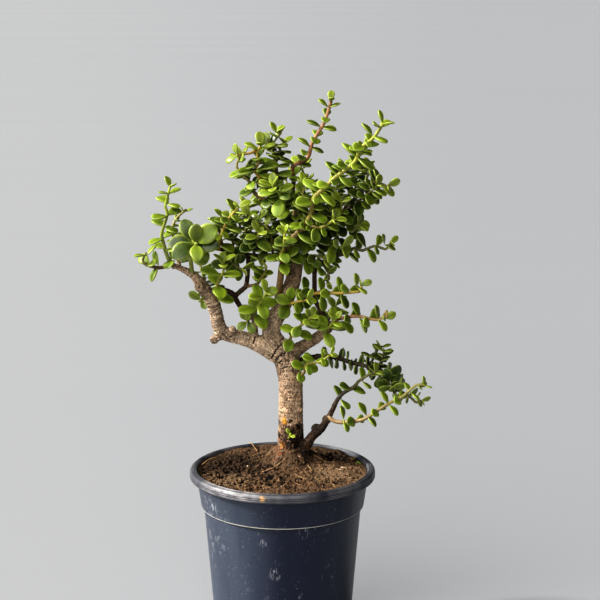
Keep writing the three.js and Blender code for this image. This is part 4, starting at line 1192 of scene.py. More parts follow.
# ---------------------------------------------------------------- finishes
@dataclass(frozen=True)
class LeafFinish:
    """The waxy skin of a jade leaf."""

    shaded: str = "#1d3104"
    lit: str = "#8da526"
    young: str = "#98a535"
    bloom: str = "#7c9a54"
    margin: str = "#a9b455"
    under: str = "#7f8f34"

    def material(self) -> Finish:
        """Builds the material from each leaf's tone, age, face and margin, with painted shade and highlight.
        """
        coat = Coat("jade_leaf", Specular_IOR_Level=0.4, Subsurface_Weight=0.1, Subsurface_Scale=0.002,
                    Subsurface_Radius=(0.4, 1.0, 0.15))
        patches = coat.mottle(160, 0.35, 0.68)
        tone = coat.math("ADD", coat.kept("tone"), coat.times(patches, 0.18), clamped=True)
        coat.colour = coat.mix(tone, self.shaded, self.lit)
        coat.paint(coat.kept("under"), self.under, 0.45)
        coat.paint(coat.times(coat.mottle(90, 0.42, 0.72), 0.3, coat.kept("bloom")), self.bloom)
        coat.paint(coat.kept("young"), self.young)
        coat.paint(coat.mottle(1300, 0.66, 0.72, detail=1), self.margin, 0.4)
        # Painted shade: the middle of each leaf is painted towards the shaded colour.
        coat.paint(coat.span(coat.kept("margin"), 0, 0.8, 0.4, 0), self.shaded)
        # The pale rim at each leaf's edge: partly the leaf's own paler margin, partly a painted highlight.
        coat.paint(coat.math("POWER", coat.kept("margin"), 7.0), self.margin, 0.8)
        normal = coat.bump(coat.mottle(1400, 0.3, 0.7), 0.25, 0.15)
        return coat.finish(coat.span(patches, 0, 1, 0.32, 0.5), normal)


@dataclass(frozen=True)
class StemFinish:
    """The skin of a young stem, from its foot's colour to its tip's."""

    tint: Tint
    scar: str = "#3b2a1c"

    def material(self) -> Finish:
        """Builds the material from the stem's length and its leaf scars."""
        coat = Coat(f"stem_{self.tint.name.lower()}", Specular_IOR_Level=0.4)
        streaks = coat.mottle(700, 0.35, 0.65, stretch=(1, 1, 0.3))
        coat.colour = coat.mix(coat.span(coat.kept("run"), 0.15, 1), *self.tint.value)
        coat.paint(streaks, self.scar, 0.35)
        coat.paint(coat.kept("scar"), self.scar, 0.45)
        return coat.finish(coat.span(streaks, 0, 1, 0.45, 0.65), coat.bump(streaks, 0.4, 0.2))


@dataclass(frozen=True)
class BarkFinish:
    """The old bark: pale tan skin, dark cracks and rings, blackish twigs, a raw foot; painted light and
    shade.
    """

    ridge: str = "#e2c6a8"
    skin: str = "#cba888"
    grey: str = "#a39280"
    cream: str = "#f4d6b6"
    crack: str = "#2e1f14"
    twig: str = "#46372a"
    twig_ridge: str = "#8a7357"
    amber: str = "#e8a02a"
    rust: str = "#7a4626"
    scar: str = "#e0d2c0"
    char: str = "#150e09"

    def material(self) -> Finish:
        """Builds the material from the relief, the grain and the marks that are kept on the mesh."""
        coat = Coat("jade_bark", Specular_IOR_Level=0.2)
        relief = coat.kept("relief")
        wrinkles = coat.mottle(360, 0.34, 0.62, detail=5, stretch=(0.3, 0.3, 1), layer="grain")
        coat.colour = coat.mix(coat.times(coat.mottle(70, 0.44, 0.6), 0.45), self.skin, self.grey)
        # Painted highlight: the raised relief is painted the paler ridge colour, over the bark's own pale
        # ridges.
        coat.paint(coat.span(relief, 0.48, 0.8), self.ridge)
        coat.paint(coat.mottle(620, 0.56, 0.64, detail=4), self.cream, 0.45)
        # Painted shade: the low parts of the wrinkles are painted darker.
        coat.paint(coat.span(wrinkles, 0, 1, 0.4, 0), self.twig_ridge)
        # Painted light: the fork, the left limb and the leader's foot are painted paler, towards cream.
        coat.paint(coat.kept("painted_light"), self.cream, 0.72)
        dark = coat.mix(coat.span(relief, 0.45, 0.9), self.twig, self.twig_ridge)
        coat.paint(coat.kept("dark"), dark)
        rust = coat.math("MULTIPLY", coat.kept("rust"), coat.mottle(190, 0.4, 0.56), clamped=True)
        coat.paint(rust, self.rust, 0.85)
        coat.paint(coat.times(coat.kept("amber"), coat.mottle(420, 0.3, 0.44)), self.amber)
        coat.paint(coat.kept("scar"), self.scar)
        splits = coat.times(coat.cracks(300, 0.07, (1, 1, 0.26), "grain"), 0.85)
        scales = coat.times(coat.cracks(470, 0.1, (1, 1, 0.8), "grain"), 0.6)
        lines = coat.times(coat.most(splits, scales), coat.mottle(85, 0.42, 0.62))
        rings = coat.mottle(390, 0.46, 0.55, detail=2, stretch=(0.1, 0.1, 1), layer="grain")
        pits = coat.times(coat.mottle(560, 0.59, 0.66, stretch=(1, 1, 0.7), layer="grain"), 0.75)
        # Painted shade: the low relief is painted the crack colour, together with the bark's own dark cracks,
        # rings and pits.
        gaps = coat.most(lines, coat.times(rings, coat.kept("ringed"), 0.9), pits,
                         coat.span(relief, 0.38, 0.08))
        coat.paint(gaps, self.crack, 0.8)
        # Near-black patches, partly the bark's own and partly painted shade, and painted shade in the
        # creases.
        coat.paint(coat.times(coat.kept("char"), coat.mottle(260, 0.3, 0.46, detail=5)), self.char)
        fine = coat.mottle(900, 0.25, 0.75, detail=5)
        height = coat.math("SUBTRACT", coat.times(fine, 0.3), coat.times(gaps, 0.7))
        height = coat.math("ADD", height, coat.times(wrinkles, 0.5))
        return coat.finish(coat.span(fine, 0, 1, 0.75, 0.95), coat.bump(height, 1.0, 1.4))


@dataclass(frozen=True)
class SoilFinish:
    """Crumbly brown soil with painted shade in its gaps; a spot is x, y, z, where it is full and where it
    ends.
    """

    high: str = "#7b5d42"
    body: str = "#4a3523"
    low: str = "#140c07"
    dust: str = "#a88b6c"
    pale_spots: tuple = ((-50, -26, 172, 8, 30), (8, 12, 176, 6, 22), (50, -10, 172, 8, 40))
    shade_spots: tuple = ((-56, 18, 172, 22, 52), (50, 38, 172, 10, 24), (16, 14, 180, 8, 24))

    def material(self) -> Finish:
        """Builds the material from the height that is kept on the mesh."""
        coat = Coat("potting_soil", Specular_IOR_Level=0.15)
        height = coat.kept("height")
        grains = coat.mottle(700, 0.35, 0.65, detail=4)
        # Painted light and shade: the bed is painted paler on its raised relief and darker low down.
        coat.colour = coat.mix(coat.span(height, 0.5, 0.9), self.body, self.high)
        dusty = coat.times(grains, 0.25)
        for spot in self.pale_spots:
            dusty = coat.math("ADD", dusty, coat.times(coat.near(*spot), 0.28))
        coat.paint(dusty, self.dust)
        # Painted shade: patches at the back left, the back right and beside the trunk's foot are painted near
        # black.
        shades = (coat.times(coat.near(*spot), 0.66) for spot in self.shade_spots)
        coat.paint(coat.most(coat.times(coat.mottle(75, 0.5, 0.66), 0.4), *shades), self.low)
        # Painted shade: the lowest places and the cracks are painted near black.
        coat.paint(coat.span(height, 0.45, 0.16), self.low)
        lines = coat.times(coat.cracks(520, 0.12), 0.5)
        coat.paint(lines, self.low)
        relief = coat.math("SUBTRACT", grains, lines)
        return coat.finish(coat.span(grains, 0, 1, 0.85, 1), coat.bump(relief, 0.8, 0.6))


@dataclass(frozen=True)
class StrawFinish:
    """Dry straw, roots and chips."""

    name: str = "straw"
    pale: str = "#b8956a"
    deep: str = "#6d4f31"

    def material(self) -> Finish:
        """Builds the material from streaks."""
        coat = Coat(self.name, Specular_IOR_Level=0.25)
        streaks = coat.mottle(350, 0.35, 0.65)
        coat.colour = coat.mix(streaks, self.deep, self.pale)
        return coat.finish(coat.span(streaks, 0, 1, 0.6, 0.8), coat.bump(streaks, 0.3, 0.2))


@dataclass(frozen=True)
class PlasticFinish:
    """The pot's dark blue-grey plastic: dust, scuffs, lip wear, painted sheen, reflection, highlight and
    shade.

    A spot is x, y, z, where it is full and where it ends; a scuff is x, y, z and where it ends.
    """

    body: str = "#0a112b"
    film_and_sheen: str = "#3e4653"
    lip_grey: str = "#33353b"
    wear_and_sheen: str = "#a3a0a2"
    groove: str = "#0b0c11"
    dust: str = "#9a9ca2"
    line: str = "#cbc8bc"
    nick: str = "#b48d62"
    ledge: tuple = (140.9, 142.1)
    lip_foot: float = 168.5
    face_grooves: tuple = (172.1, 173.9, 170.6)
    top_grooves: tuple = (84.5, 85.6, 86.9, 88)
    nick_spot: tuple = (-18, -88.1, 174.5, 1.4, 4.4)
    sheen_spot: tuple = (-50, -72, 173, 16, 52)
    scuffs: tuple = ((-19, -76, 125, 7), (-7, -74, 95, 9), (-35, -71, 79, 11), (-55, -68, 88, 10),
                     (22, -77, 136, 9), (-68, -45, 150, 16))

    def dust_mask(self, coat: Coat) -> Socket:
        """Wires the specks, the dried drops, the scuffs and the scratches.

        Args:
            coat: The material that is being made.

        Returns:
            The mask of all of them.
        """
        drops = coat.times(coat.mottle(170, 0.6, 0.66, detail=1), coat.mottle(24, 0.5, 0.62), 0.22)
        specks = coat.times(coat.mottle(620, 0.63, 0.72, detail=6), coat.mottle(55, 0.42, 0.7), 0.5)
        ragged = coat.mottle(330, 0.5, 0.6, detail=5, stretch=(1.6, 1.6, 0.5))
        scuffs = [coat.times(coat.near(*spot, reach * 0.2, reach), ragged, 0.7)
                  for *spot, reach in self.scuffs]
        streaks = coat.mottle(260, 0.68, 0.74, stretch=(4, 4, 0.35))
        return coat.most(specks, drops, *scuffs, coat.times(streaks, coat.mottle(30, 0.5, 0.62), 0.5))

    def material(self) -> Finish:
        """Builds the material from the height up the pot and the places of its scuffs."""
        coat = Coat("pot_plastic", Specular_IOR_Level=0.4)
        x, _, height = coat.axes()
        fine = coat.mottle(1500, 0.46, 0.66, detail=6)
        streaks = coat.mottle(60, 0.2, 0.8, detail=4, stretch=(1, 1, 0.16))
        # Painted sheen: a paler colour is painted down the pot's left side, where the key light falls, fading
        # out by the middle.
        lit = coat.span(x, -0.045, 0.006, 1, 0)
        film_and_sheen = coat.math("ADD", coat.times(lit, 0.55), coat.times(streaks, lit, 0.3))
        lip = coat.span(height, self.lip_foot * MM, (self.lip_foot + 1.5) * MM)
        coat.colour = coat.mix(coat.times(film_and_sheen, coat.span(lip, 0, 1, 1, 0.45)), self.body, self.film_and_sheen)
        # Painted reflection: the same paler colour is painted in streaks down the pot's right edge.
        coat.paint(coat.times(coat.span(x, 0.035, 0.07), streaks), self.film_and_sheen)
        dust = self.dust_mask(coat)
        coat.paint(dust, self.dust)
        coat.paint(lip, self.lip_grey, 0.6)
        # Painted highlight: a pale patch is painted on the lip's front left, with paler mottling over the
        # whole lip that is partly wear.
        lip_wear_and_sheen = coat.times(coat.near(*self.sheen_spot),
                            coat.mottle(90, 0.2, 0.7, detail=5, stretch=(1, 1, 3)))
        lip_wear_and_sheen = coat.most(lip_wear_and_sheen, coat.times(coat.mottle(40, 0.3, 0.7), 0.34))
        coat.paint(coat.times(lip, lip_wear_and_sheen), self.wear_and_sheen, 0.8)
        # Painted shade: dark lines are painted along the lip's grooves and steps.
        radius = coat.node("ShaderNodeVectorMath", {0: coat.place((1, 1, 0))}, operation="LENGTH")
        groove_shades = [coat.line_at(height, spot) for spot in self.face_grooves]
        groove_shades += [coat.line_at(radius.outputs["Value"], spot) for spot in self.top_grooves]
        coat.paint(coat.times(coat.most(*groove_shades), lip), self.groove, 0.75)
        # Painted highlight: a pale line is painted along the ledge's edge, strongest on the lit left side;
        # partly dust.
        low, high = self.ledge
        coat.paint(coat.times(coat.span(height, (low - 0.4) * MM, low * MM),
                              coat.span(height, high * MM, (high + 0.5) * MM, 1, 0),
                              coat.mottle(60, 0.15, 0.5), coat.span(x, 0, 0.06, 0.95, 0.45)), self.line)
        coat.paint(coat.times(coat.near(*self.nick_spot), coat.mottle(330, 0.4, 0.5)), self.nick)
        roughness = coat.math("ADD", coat.span(streaks, 0, 1, 0.36, 0.48), coat.times(dust, 0.4))
        return coat.finish(roughness, coat.bump(coat.math("ADD", fine, dust), 0.12, 0.15))


@dataclass(frozen=True)
class FloorFinish:
    """The pale ground that the pot stands on."""

    pale: str = "#94969a"
    deep: str = "#8b8e92"
    reach: float = 1.68

    def material(self) -> Finish:
        """Builds the material from faint, wide patches on a ground painted darker to the right: painted
        shade.
        """
        coat = Coat("pale_floor", Specular_IOR_Level=0.1)
        x, y, _ = coat.axes()
        depth = coat.most(coat.math("ADD", y, self.reach), 1.0)
        # Painted shade: the ground darkens to the right, as if the light fell off that way.
        right = coat.span(coat.math("DIVIDE", x, depth), -0.16, 0.14)
        bands = coat.times(coat.mottle(0.8, 0.3, 0.7, stretch=(0.4, 2.5, 1)), 0.12)
        coat.colour = coat.mix(coat.math("ADD", right, bands, clamped=True), self.pale, self.deep)
        return coat.finish(coat.span(bands, 0, 0.12, 0.85, 0.95))


# ---------------------------------------------------------------- pot
@dataclass
class NurseryPot:
    """The thin round pot: a ledge, a band, a grooved lip and drain holes."""

    height: float = 178
    base: float = 65
    body: float = 76.4
    ledge_height: float = 141
    ledge: float = 2.8
    band: float = 83
    lip: float = 90
    lip_foot: float = 168.5
    mouth: float = 83.2
    wall: float = 2.2
    floor: float = 4
    foot: float = 1.5
    groove: float = 0.55
    face_grooves: tuple = (3.6, 5.4)  # over the lip's foot
    top_grooves: tuple = (4.4, 5.5)  # in from the lip
    segments: int = 160
    body_rings: int = 9
    drain_holes: int = 6
    drain_radius: float = 4.5
    drain_circle: float = 42
    drain_sides: int = 24
    sharp: float = 38

    def profile(self) -> list[tuple[float, float]]:
        """Returns the wall's section as (radius, height), from the axis below to the axis above."""
        base, body, band, lip, wall = self.base, self.body, self.band, self.lip, self.wall
        foot, shelf, under, top = self.foot, self.ledge_height, self.lip_foot, self.height
        edge, mouth = body + self.ledge, self.mouth
        line = [(0, 0), (base - 1.6, 0), (base - 0.45, 0.4), (base, foot)]
        line += [(base + (body - base) * i / self.body_rings, foot + (shelf - foot) * i / self.body_rings)
                 for i in range(1, self.body_rings + 1)]
        line += [(body + 0.15, shelf + 0.1), (edge - 0.8, shelf + 0.35), (edge - 0.2, shelf + 0.8),
                 (edge, shelf + 1.8), (band - 0.15, under - 1.2), (band + 0.35, under - 0.2),
                 (band + 1.4, under + 0.3), (lip - 1.3, under + 1), (lip - 0.35, under + 1.6),
                 (lip, under + 2.6)]
        for height in self.face_grooves:
            line += [(lip, under + height - 0.5), (lip - self.groove, under + height - 0.15),
                     (lip - self.groove, under + height + 0.15), (lip, under + height + 0.5)]
        line += [(lip - 0.2, top - 2.5), (lip - 0.75, top - 1.5), (lip - 1.05, top - 1.55),
                 (lip - 1.35, top - 1.0), (lip - 2.2, top - 0.35), (lip - 2.5, top - 0.45),
                 (lip - 2.9, top - 0.1)]
        for inset in self.top_grooves:
            line += [(lip - inset + 0.4, top), (lip - inset + 0.12, top - self.groove),
                     (lip - inset - 0.12, top - self.groove), (lip - inset - 0.4, top)]
        return line + [(mouth + 0.5, top - 0.1), (mouth + 0.1, top - 0.5), (mouth, top - 1.2),
                       (band - wall, under), (edge - wall, shelf + self.ledge), (body - wall, shelf),
                       (base - wall, self.floor + foot), (base - wall - foot, self.floor), (0, self.floor)]

    def inner(self, height: float) -> float:
        """Works out the inside's radius.

        Args:
            height: A height above the floor.

        Returns:
            The radius there.
        """
        return ramp(height, (self.floor, self.base - self.wall), (self.ledge_height, self.body - self.wall),
                    (self.ledge_height + self.ledge, self.body + self.ledge - self.wall),
                    (self.lip_foot, self.band - self.wall), (self.height, self.mouth))

    def shell(self) -> Shape:
        """Returns the pot without its drain holes."""
        shape = bmesh.new()
        made = [shape.verts.new((radius, 0, height)) for radius, height in self.profile()]
        edges = [shape.edges.new(pair) for pair in zip(made, made[1:])]
        bmesh.ops.spin(shape, geom=made + edges, cent=(0, 0, 0), axis=(0, 0, 1), angle=math.tau,
                       steps=self.segments, use_merge=True)
        bmesh.ops.remove_doubles(shape, verts=shape.verts, dist=1e-3)
        bmesh.ops.recalc_face_normals(shape, faces=shape.faces)
        return shape

    def drains(self) -> Shape:
        """Returns the pins that the drain holes are cut with, in metres."""
        shape = bmesh.new()
        for i in range(self.drain_holes):
            bearing = (i + 0.5) / self.drain_holes * math.tau
            spot = Matrix.Translation((self.drain_circle * math.cos(bearing),
                                       self.drain_circle * math.sin(bearing), self.floor / 2))
            bmesh.ops.create_cone(shape, cap_ends=True, segments=self.drain_sides, radius1=self.drain_radius,
                                  radius2=self.drain_radius, depth=3 * self.floor, matrix=spot)
        bmesh.ops.scale(shape, vec=(MM, MM, MM), verts=shape.verts)
        return shape

    def build(self, finish: Finish) -> None:
        """Makes the pot's piece.

        Args:
            finish: The plastic.
        """
        pot = finish_piece("pot_shell", self.shell(), [finish], "pot_plastic", "pot")
        cutter = stand("drains", self.drains())
        cut = pot.modifiers.new("drain_holes", "BOOLEAN")
        cut.operation, cut.object, cut.solver = "DIFFERENCE", cutter, "EXACT"
        apply_modifiers(pot)
        bpy.data.objects.remove(cutter)
        pot.data.set_sharp_from_angle(angle=math.radians(self.sharp))


# ---------------------------------------------------------------- soil
@dataclass
class SoilBed:
    """The soil in the pot: a mounded, crumbly top, clods, fibres and fallen bits."""

    pot: NurseryPot
    cells: int = 176
    slope: float = 0.03
    mound_height: float = 18
    mound_spread: float = 26
    gap: float = 0.3
    calm_rim: float = 4
    crumbs: int = 1300
    crumb_reach: float = 77
    hairs: int = 34
    hair_reach: float = 68
    hair_step: float = 2.5
    hair_sides: int = 6
    small_chips: int = 26
    chip_reach: float = 72
    seed: int = 11
    straws: tuple = (((-36, 80, 2.5), (-31, 70, 4), (-26, 60, 0.5), 0.4),
                     ((-79, 17, 0.5), (-72, 28, 1.6), (-65, 40, 0.6), 0.5),
                     ((-20, -5, 0.5), (-8, -3, 3), (4, 4, 0.8), 0.4))
    chip_spots: tuple = ((60, 3, 2.4), (57, 0, 1.6), (-47, -35, 1.3))
    leaf_spots: tuple = ((69.6, 36, 2.2, 0.4), (75, 19, 3.6, 1.9), (73.5, 22, 2.2, 0.9))

    def height(self, x: float, y: float) -> float:
        """Works out the height of the top without its crumbs, as the CAD solid has it.

        Args:
            x: The place along X.
            y: The place along Y.

        Returns:
            The height.
        """
        from_trunk = math.hypot(x - TRUNK_FOOT[0], y - TRUNK_FOOT[1])
        mound = self.mound_height * math.exp(-((from_trunk / self.mound_spread) ** 2))
        lumps = 0.9 * math.sin(x / 9 + 1) * math.cos(y / 11) + 0.6 * math.sin(x / 5 - y / 6)
        return SOIL_EDGE + self.slope * y + mound + lumps

    @staticmethod
    def swell(x: float, y: float, at_x: float, at_y: float, wide: float, deep: float) -> float:
        """Returns a soft hill of height 1 at a place, with its reach along X and Y."""
        return math.exp(-(((x - at_x) / wide) ** 2) - ((y - at_y) / deep) ** 2)

    def looseness(self, x: float, y: float) -> float:
        """Returns how loose the soil is: most to the left and at the back right, least in front."""
        return min(1.0, 0.3 + self.swell(x, y, -42, 5, 30, 45) + 0.8 * self.swell(x, y, 52, 42, 26, 22)
                   + 0.7 * self.swell(x, y, -5, -30, 40, 16))

    def relief(self, x: float, y: float) -> tuple[float, float]:
        """Works out the crumbs.

        Args:
            x: The place along X.
            y: The place along Y.

        Returns:
            Their height over the plain top, and that height as a share from 0 to 1.
        """
        loose = self.looseness(x, y)
        coarse = noise.fractal((x / 6.5, y / 6.5, 3.1), 0.8, 2.1, 4)
        clods = 1 - noise.voronoi((x / 3.6, y / 3.6, 7.7))[0][0]
        fine = noise.noise((x / 1.3, y / 1.3, 5.5))
        patchy = 0.45 + 0.9 * max(0.0, noise.noise((x / 15, y / 15, 2.4)) + 0.3)
        pits = max(0.0, noise.noise((x / 2.9, y / 3.6, 9.1)) - 0.24 + 0.2 * loose) * patchy
        pits += 0.9 * loose * max(0.0, noise.noise((x / 6.4 + y / 14, y / 4.1, 15.3)) - 0.1)
        lift = (0.9 + 0.8 * loose) * coarse + 1.5 * loose * (clods - 0.62) + 0.35 * fine - 7 * loose * pits
        hump = self.swell(x, y, 8, 13, 11, 7)
        hollows = self.swell(x, y, -3, 4, 3, 2.5) + self.swell(x, y, -16, -20, 6, 3)
        hollows += self.swell(x, y, 48, 37, 17, 6)
        lift += hump * (3.6 - 0.8 * lift) - 3.2 * hollows
        return lift, clamp(0.55 + (lift - 3.2 * hump) / 3.2)

    def bed(self) -> Shape:
        """Returns the soil's mesh, from its crumbly top down to the pot's floor."""
        shape = bmesh.new()
        shade = shape.verts.layers.float.new("height")
        top_radius = self.pot.inner(self.pot.height) - self.gap
        bmesh.ops.create_grid(shape, x_segments=self.cells, y_segments=self.cells, size=top_radius)
        outer = [vertex for vertex in shape.verts if vertex.co.length > top_radius]
        bmesh.ops.delete(shape, geom=outer, context="VERTS")
        rim = [edge for edge in shape.edges if edge.is_boundary]
        for vertex in {vertex for edge in rim for vertex in edge.verts}:
            x, y, _ = vertex.co * (top_radius / vertex.co.length)
            vertex.co *= (self.pot.inner(self.height(x, y)) - self.gap) / vertex.co.length
        for vertex in shape.verts:
            x, y, _ = vertex.co
            lift, vertex[shade] = self.relief(x, y)
            calm = ramp(top_radius - math.hypot(x, y), (0, 0.2), (self.calm_rim, 1))
            vertex.co.z = self.height(x, y) + lift * calm
        for height in (self.pot.lip_foot, self.pot.ledge_height + self.pot.ledge, self.pot.ledge_height,
                       self.pot.floor + self.gap):
            ring, rim = pull_edges(shape, rim)
            for vertex in ring:
                scale = (self.pot.inner(height) - self.gap) / math.hypot(vertex.co.x, vertex.co.y)
                vertex.co = (vertex.co.x * scale, vertex.co.y * scale, height)
        bmesh.ops.holes_fill(shape, edges=rim, sides=0)
        bmesh.ops.recalc_face_normals(shape, faces=shape.faces)
        return shape

    def top(self, x: float, y: float) -> float:
        """Returns the height of the crumbly top."""
        return self.height(x, y) + self.relief(x, y)[0]

    @staticmethod
    def spot(draw: Draw, reach: float) -> tuple[float, float]:
        """Draws a place on the soil within `reach` of the axis."""
        radius, bearing = reach * math.sqrt(draw.between(0, 1)), draw.between(0, math.tau)
        return radius * math.cos(bearing), radius * math.sin(bearing)

    def lay(self, shape: Shape, bit: list, spot: Point, lift: float, turns: tuple, stretch: Point) -> None:
        """Stretches a bit, turns it and lays it on the soil.

        Args:
            shape: The bmesh that holds it.
            bit: Its vertices.
            spot: Its x and y.
            lift: How far its middle lies over the top.
            turns: Its bearing and its tilt in radians, and the axis of the tilt.
            stretch: How much it is stretched along each of its own axes.
        """
        bearing, tilt, axis = turns
        place = Matrix.Translation((*spot, self.top(*spot) + lift))
        turn = Matrix.Rotation(bearing, 4, "Z") @ Matrix.Rotation(tilt, 4, axis)
        bmesh.ops.transform(shape, matrix=place @ turn @ Matrix.Diagonal((*stretch, 1)), verts=bit)

    def clods(self) -> Shape:
        """Returns the loose crumbs, most of them where the soil is loose."""
        shape = bmesh.new()
        shade = shape.verts.layers.float.new("height")
        draw = Draw(self.seed)
        for _ in range(self.crumbs):
            spot = self.spot(draw, self.crumb_reach)
            size = 0.55 + 1.5 * draw.between(0, 1) ** 3
            stretch = [size * draw.between(0.7, 1.3) for _ in range(3)]
            turns = draw.between(0, math.tau), draw.between(-0.6, 0.6), "X"
            tone = draw.between(0.35, 1)
            if self.looseness(*spot) < draw.between(0.25, 1.1):
                size *= 0.6
            made = bmesh.ops.create_icosphere(shape, subdivisions=1, radius=1)["verts"]
            for vertex in made:
                vertex.co *= 1 + 0.35 * draw()
                vertex[shade] = tone
            self.lay(shape, made, spot, 0.2 * size, turns, stretch)
        return shape

    def fibres(self) -> Shape:
        """Returns the straw and root hairs that lie on the soil."""
        shape = bmesh.new()
        draw = Draw(self.seed + 1)
        routes = [[(x, y, self.top(x, y) + lift, radius) for x, y, lift in points]
                  for *points, radius in self.straws]
        for _ in range(self.hairs):
            x, y = self.spot(draw, self.hair_reach)
            bearing, reach, radius = draw.between(0, math.tau), draw.between(3, 11), draw.between(0.14, 0.34)
            points = []
            for step in (-1, -0.4, 0.3, 1):
                bend = bearing + 0.7 * draw()
                px, py = x + step * reach * math.cos(bend), y + step * reach * math.sin(bend)
                points.append((px, py, self.top(px, py) + draw.between(0.1, 1.0), radius))
            routes.append(points)
        for route in routes:
            sweep(shape, even_frames(route, self.hair_step), self.hair_sides)
        return shape

    def chips(self) -> Shape:
        """Returns pale wood chips and grit."""
        shape = bmesh.new()
        draw = Draw(self.seed + 2)
        drawn = [(*self.spot(draw, self.chip_reach), draw.between(0.5, 1.2)) for _ in range(self.small_chips)]
        for *spot, size in (*self.chip_spots, *drawn):
            made = bmesh.ops.create_icosphere(shape, subdivisions=1, radius=1)["verts"]
            self.lay(shape, made, spot, 0.35 * size, (draw.between(0, math.tau), draw(), "Y"),
                     (size * draw.between(1.1, 2), size * 0.7, size * 0.35))
        return shape

    def leaf_bits(self) -> Shape:
        """Returns the green bits of fallen leaves at the right edge."""
        shape = bmesh.new()
        for *spot, size, turn in self.leaf_spots:
            made = bmesh.ops.create_uvsphere(shape, u_segments=12, v_segments=7, radius=1)["verts"]
            self.lay(shape, made, spot, 0.4 * size, (turn, 0.7, "X"), (size, size * 0.7, 0.6))
        return shape

    def build(self, soil: Finish, straw: Finish, chip: Finish, leaf: Finish) -> None:
        """Makes the soil's pieces.

        Args:
            soil: The soil's finish.
            straw: The fibres' finish.
            chip: The wood chips' finish.
            leaf: The fallen leaves' finish.
        """
        finish_piece("soil_bed", self.bed(), [soil], "soil", "soil")
        finish_piece("soil_crumbs", self.clods(), [soil], "soil")
        finish_piece("straw_fibres", self.fibres(), [straw], "bark")
        finish_piece("wood_chips", self.chips(), [chip], "bark")
        finish_piece("leaf_bits", self.leaf_bits(), [leaf], "leaves")


# ---------------------------------------------------------------- wood
class MarkKind(Enum):
    """What a mark on the bark looks like; the value is its layer's name on the mesh."""

    AMBER = "amber"
    RUST = "rust"
    SCAR = "scar"
    CHAR = "char"


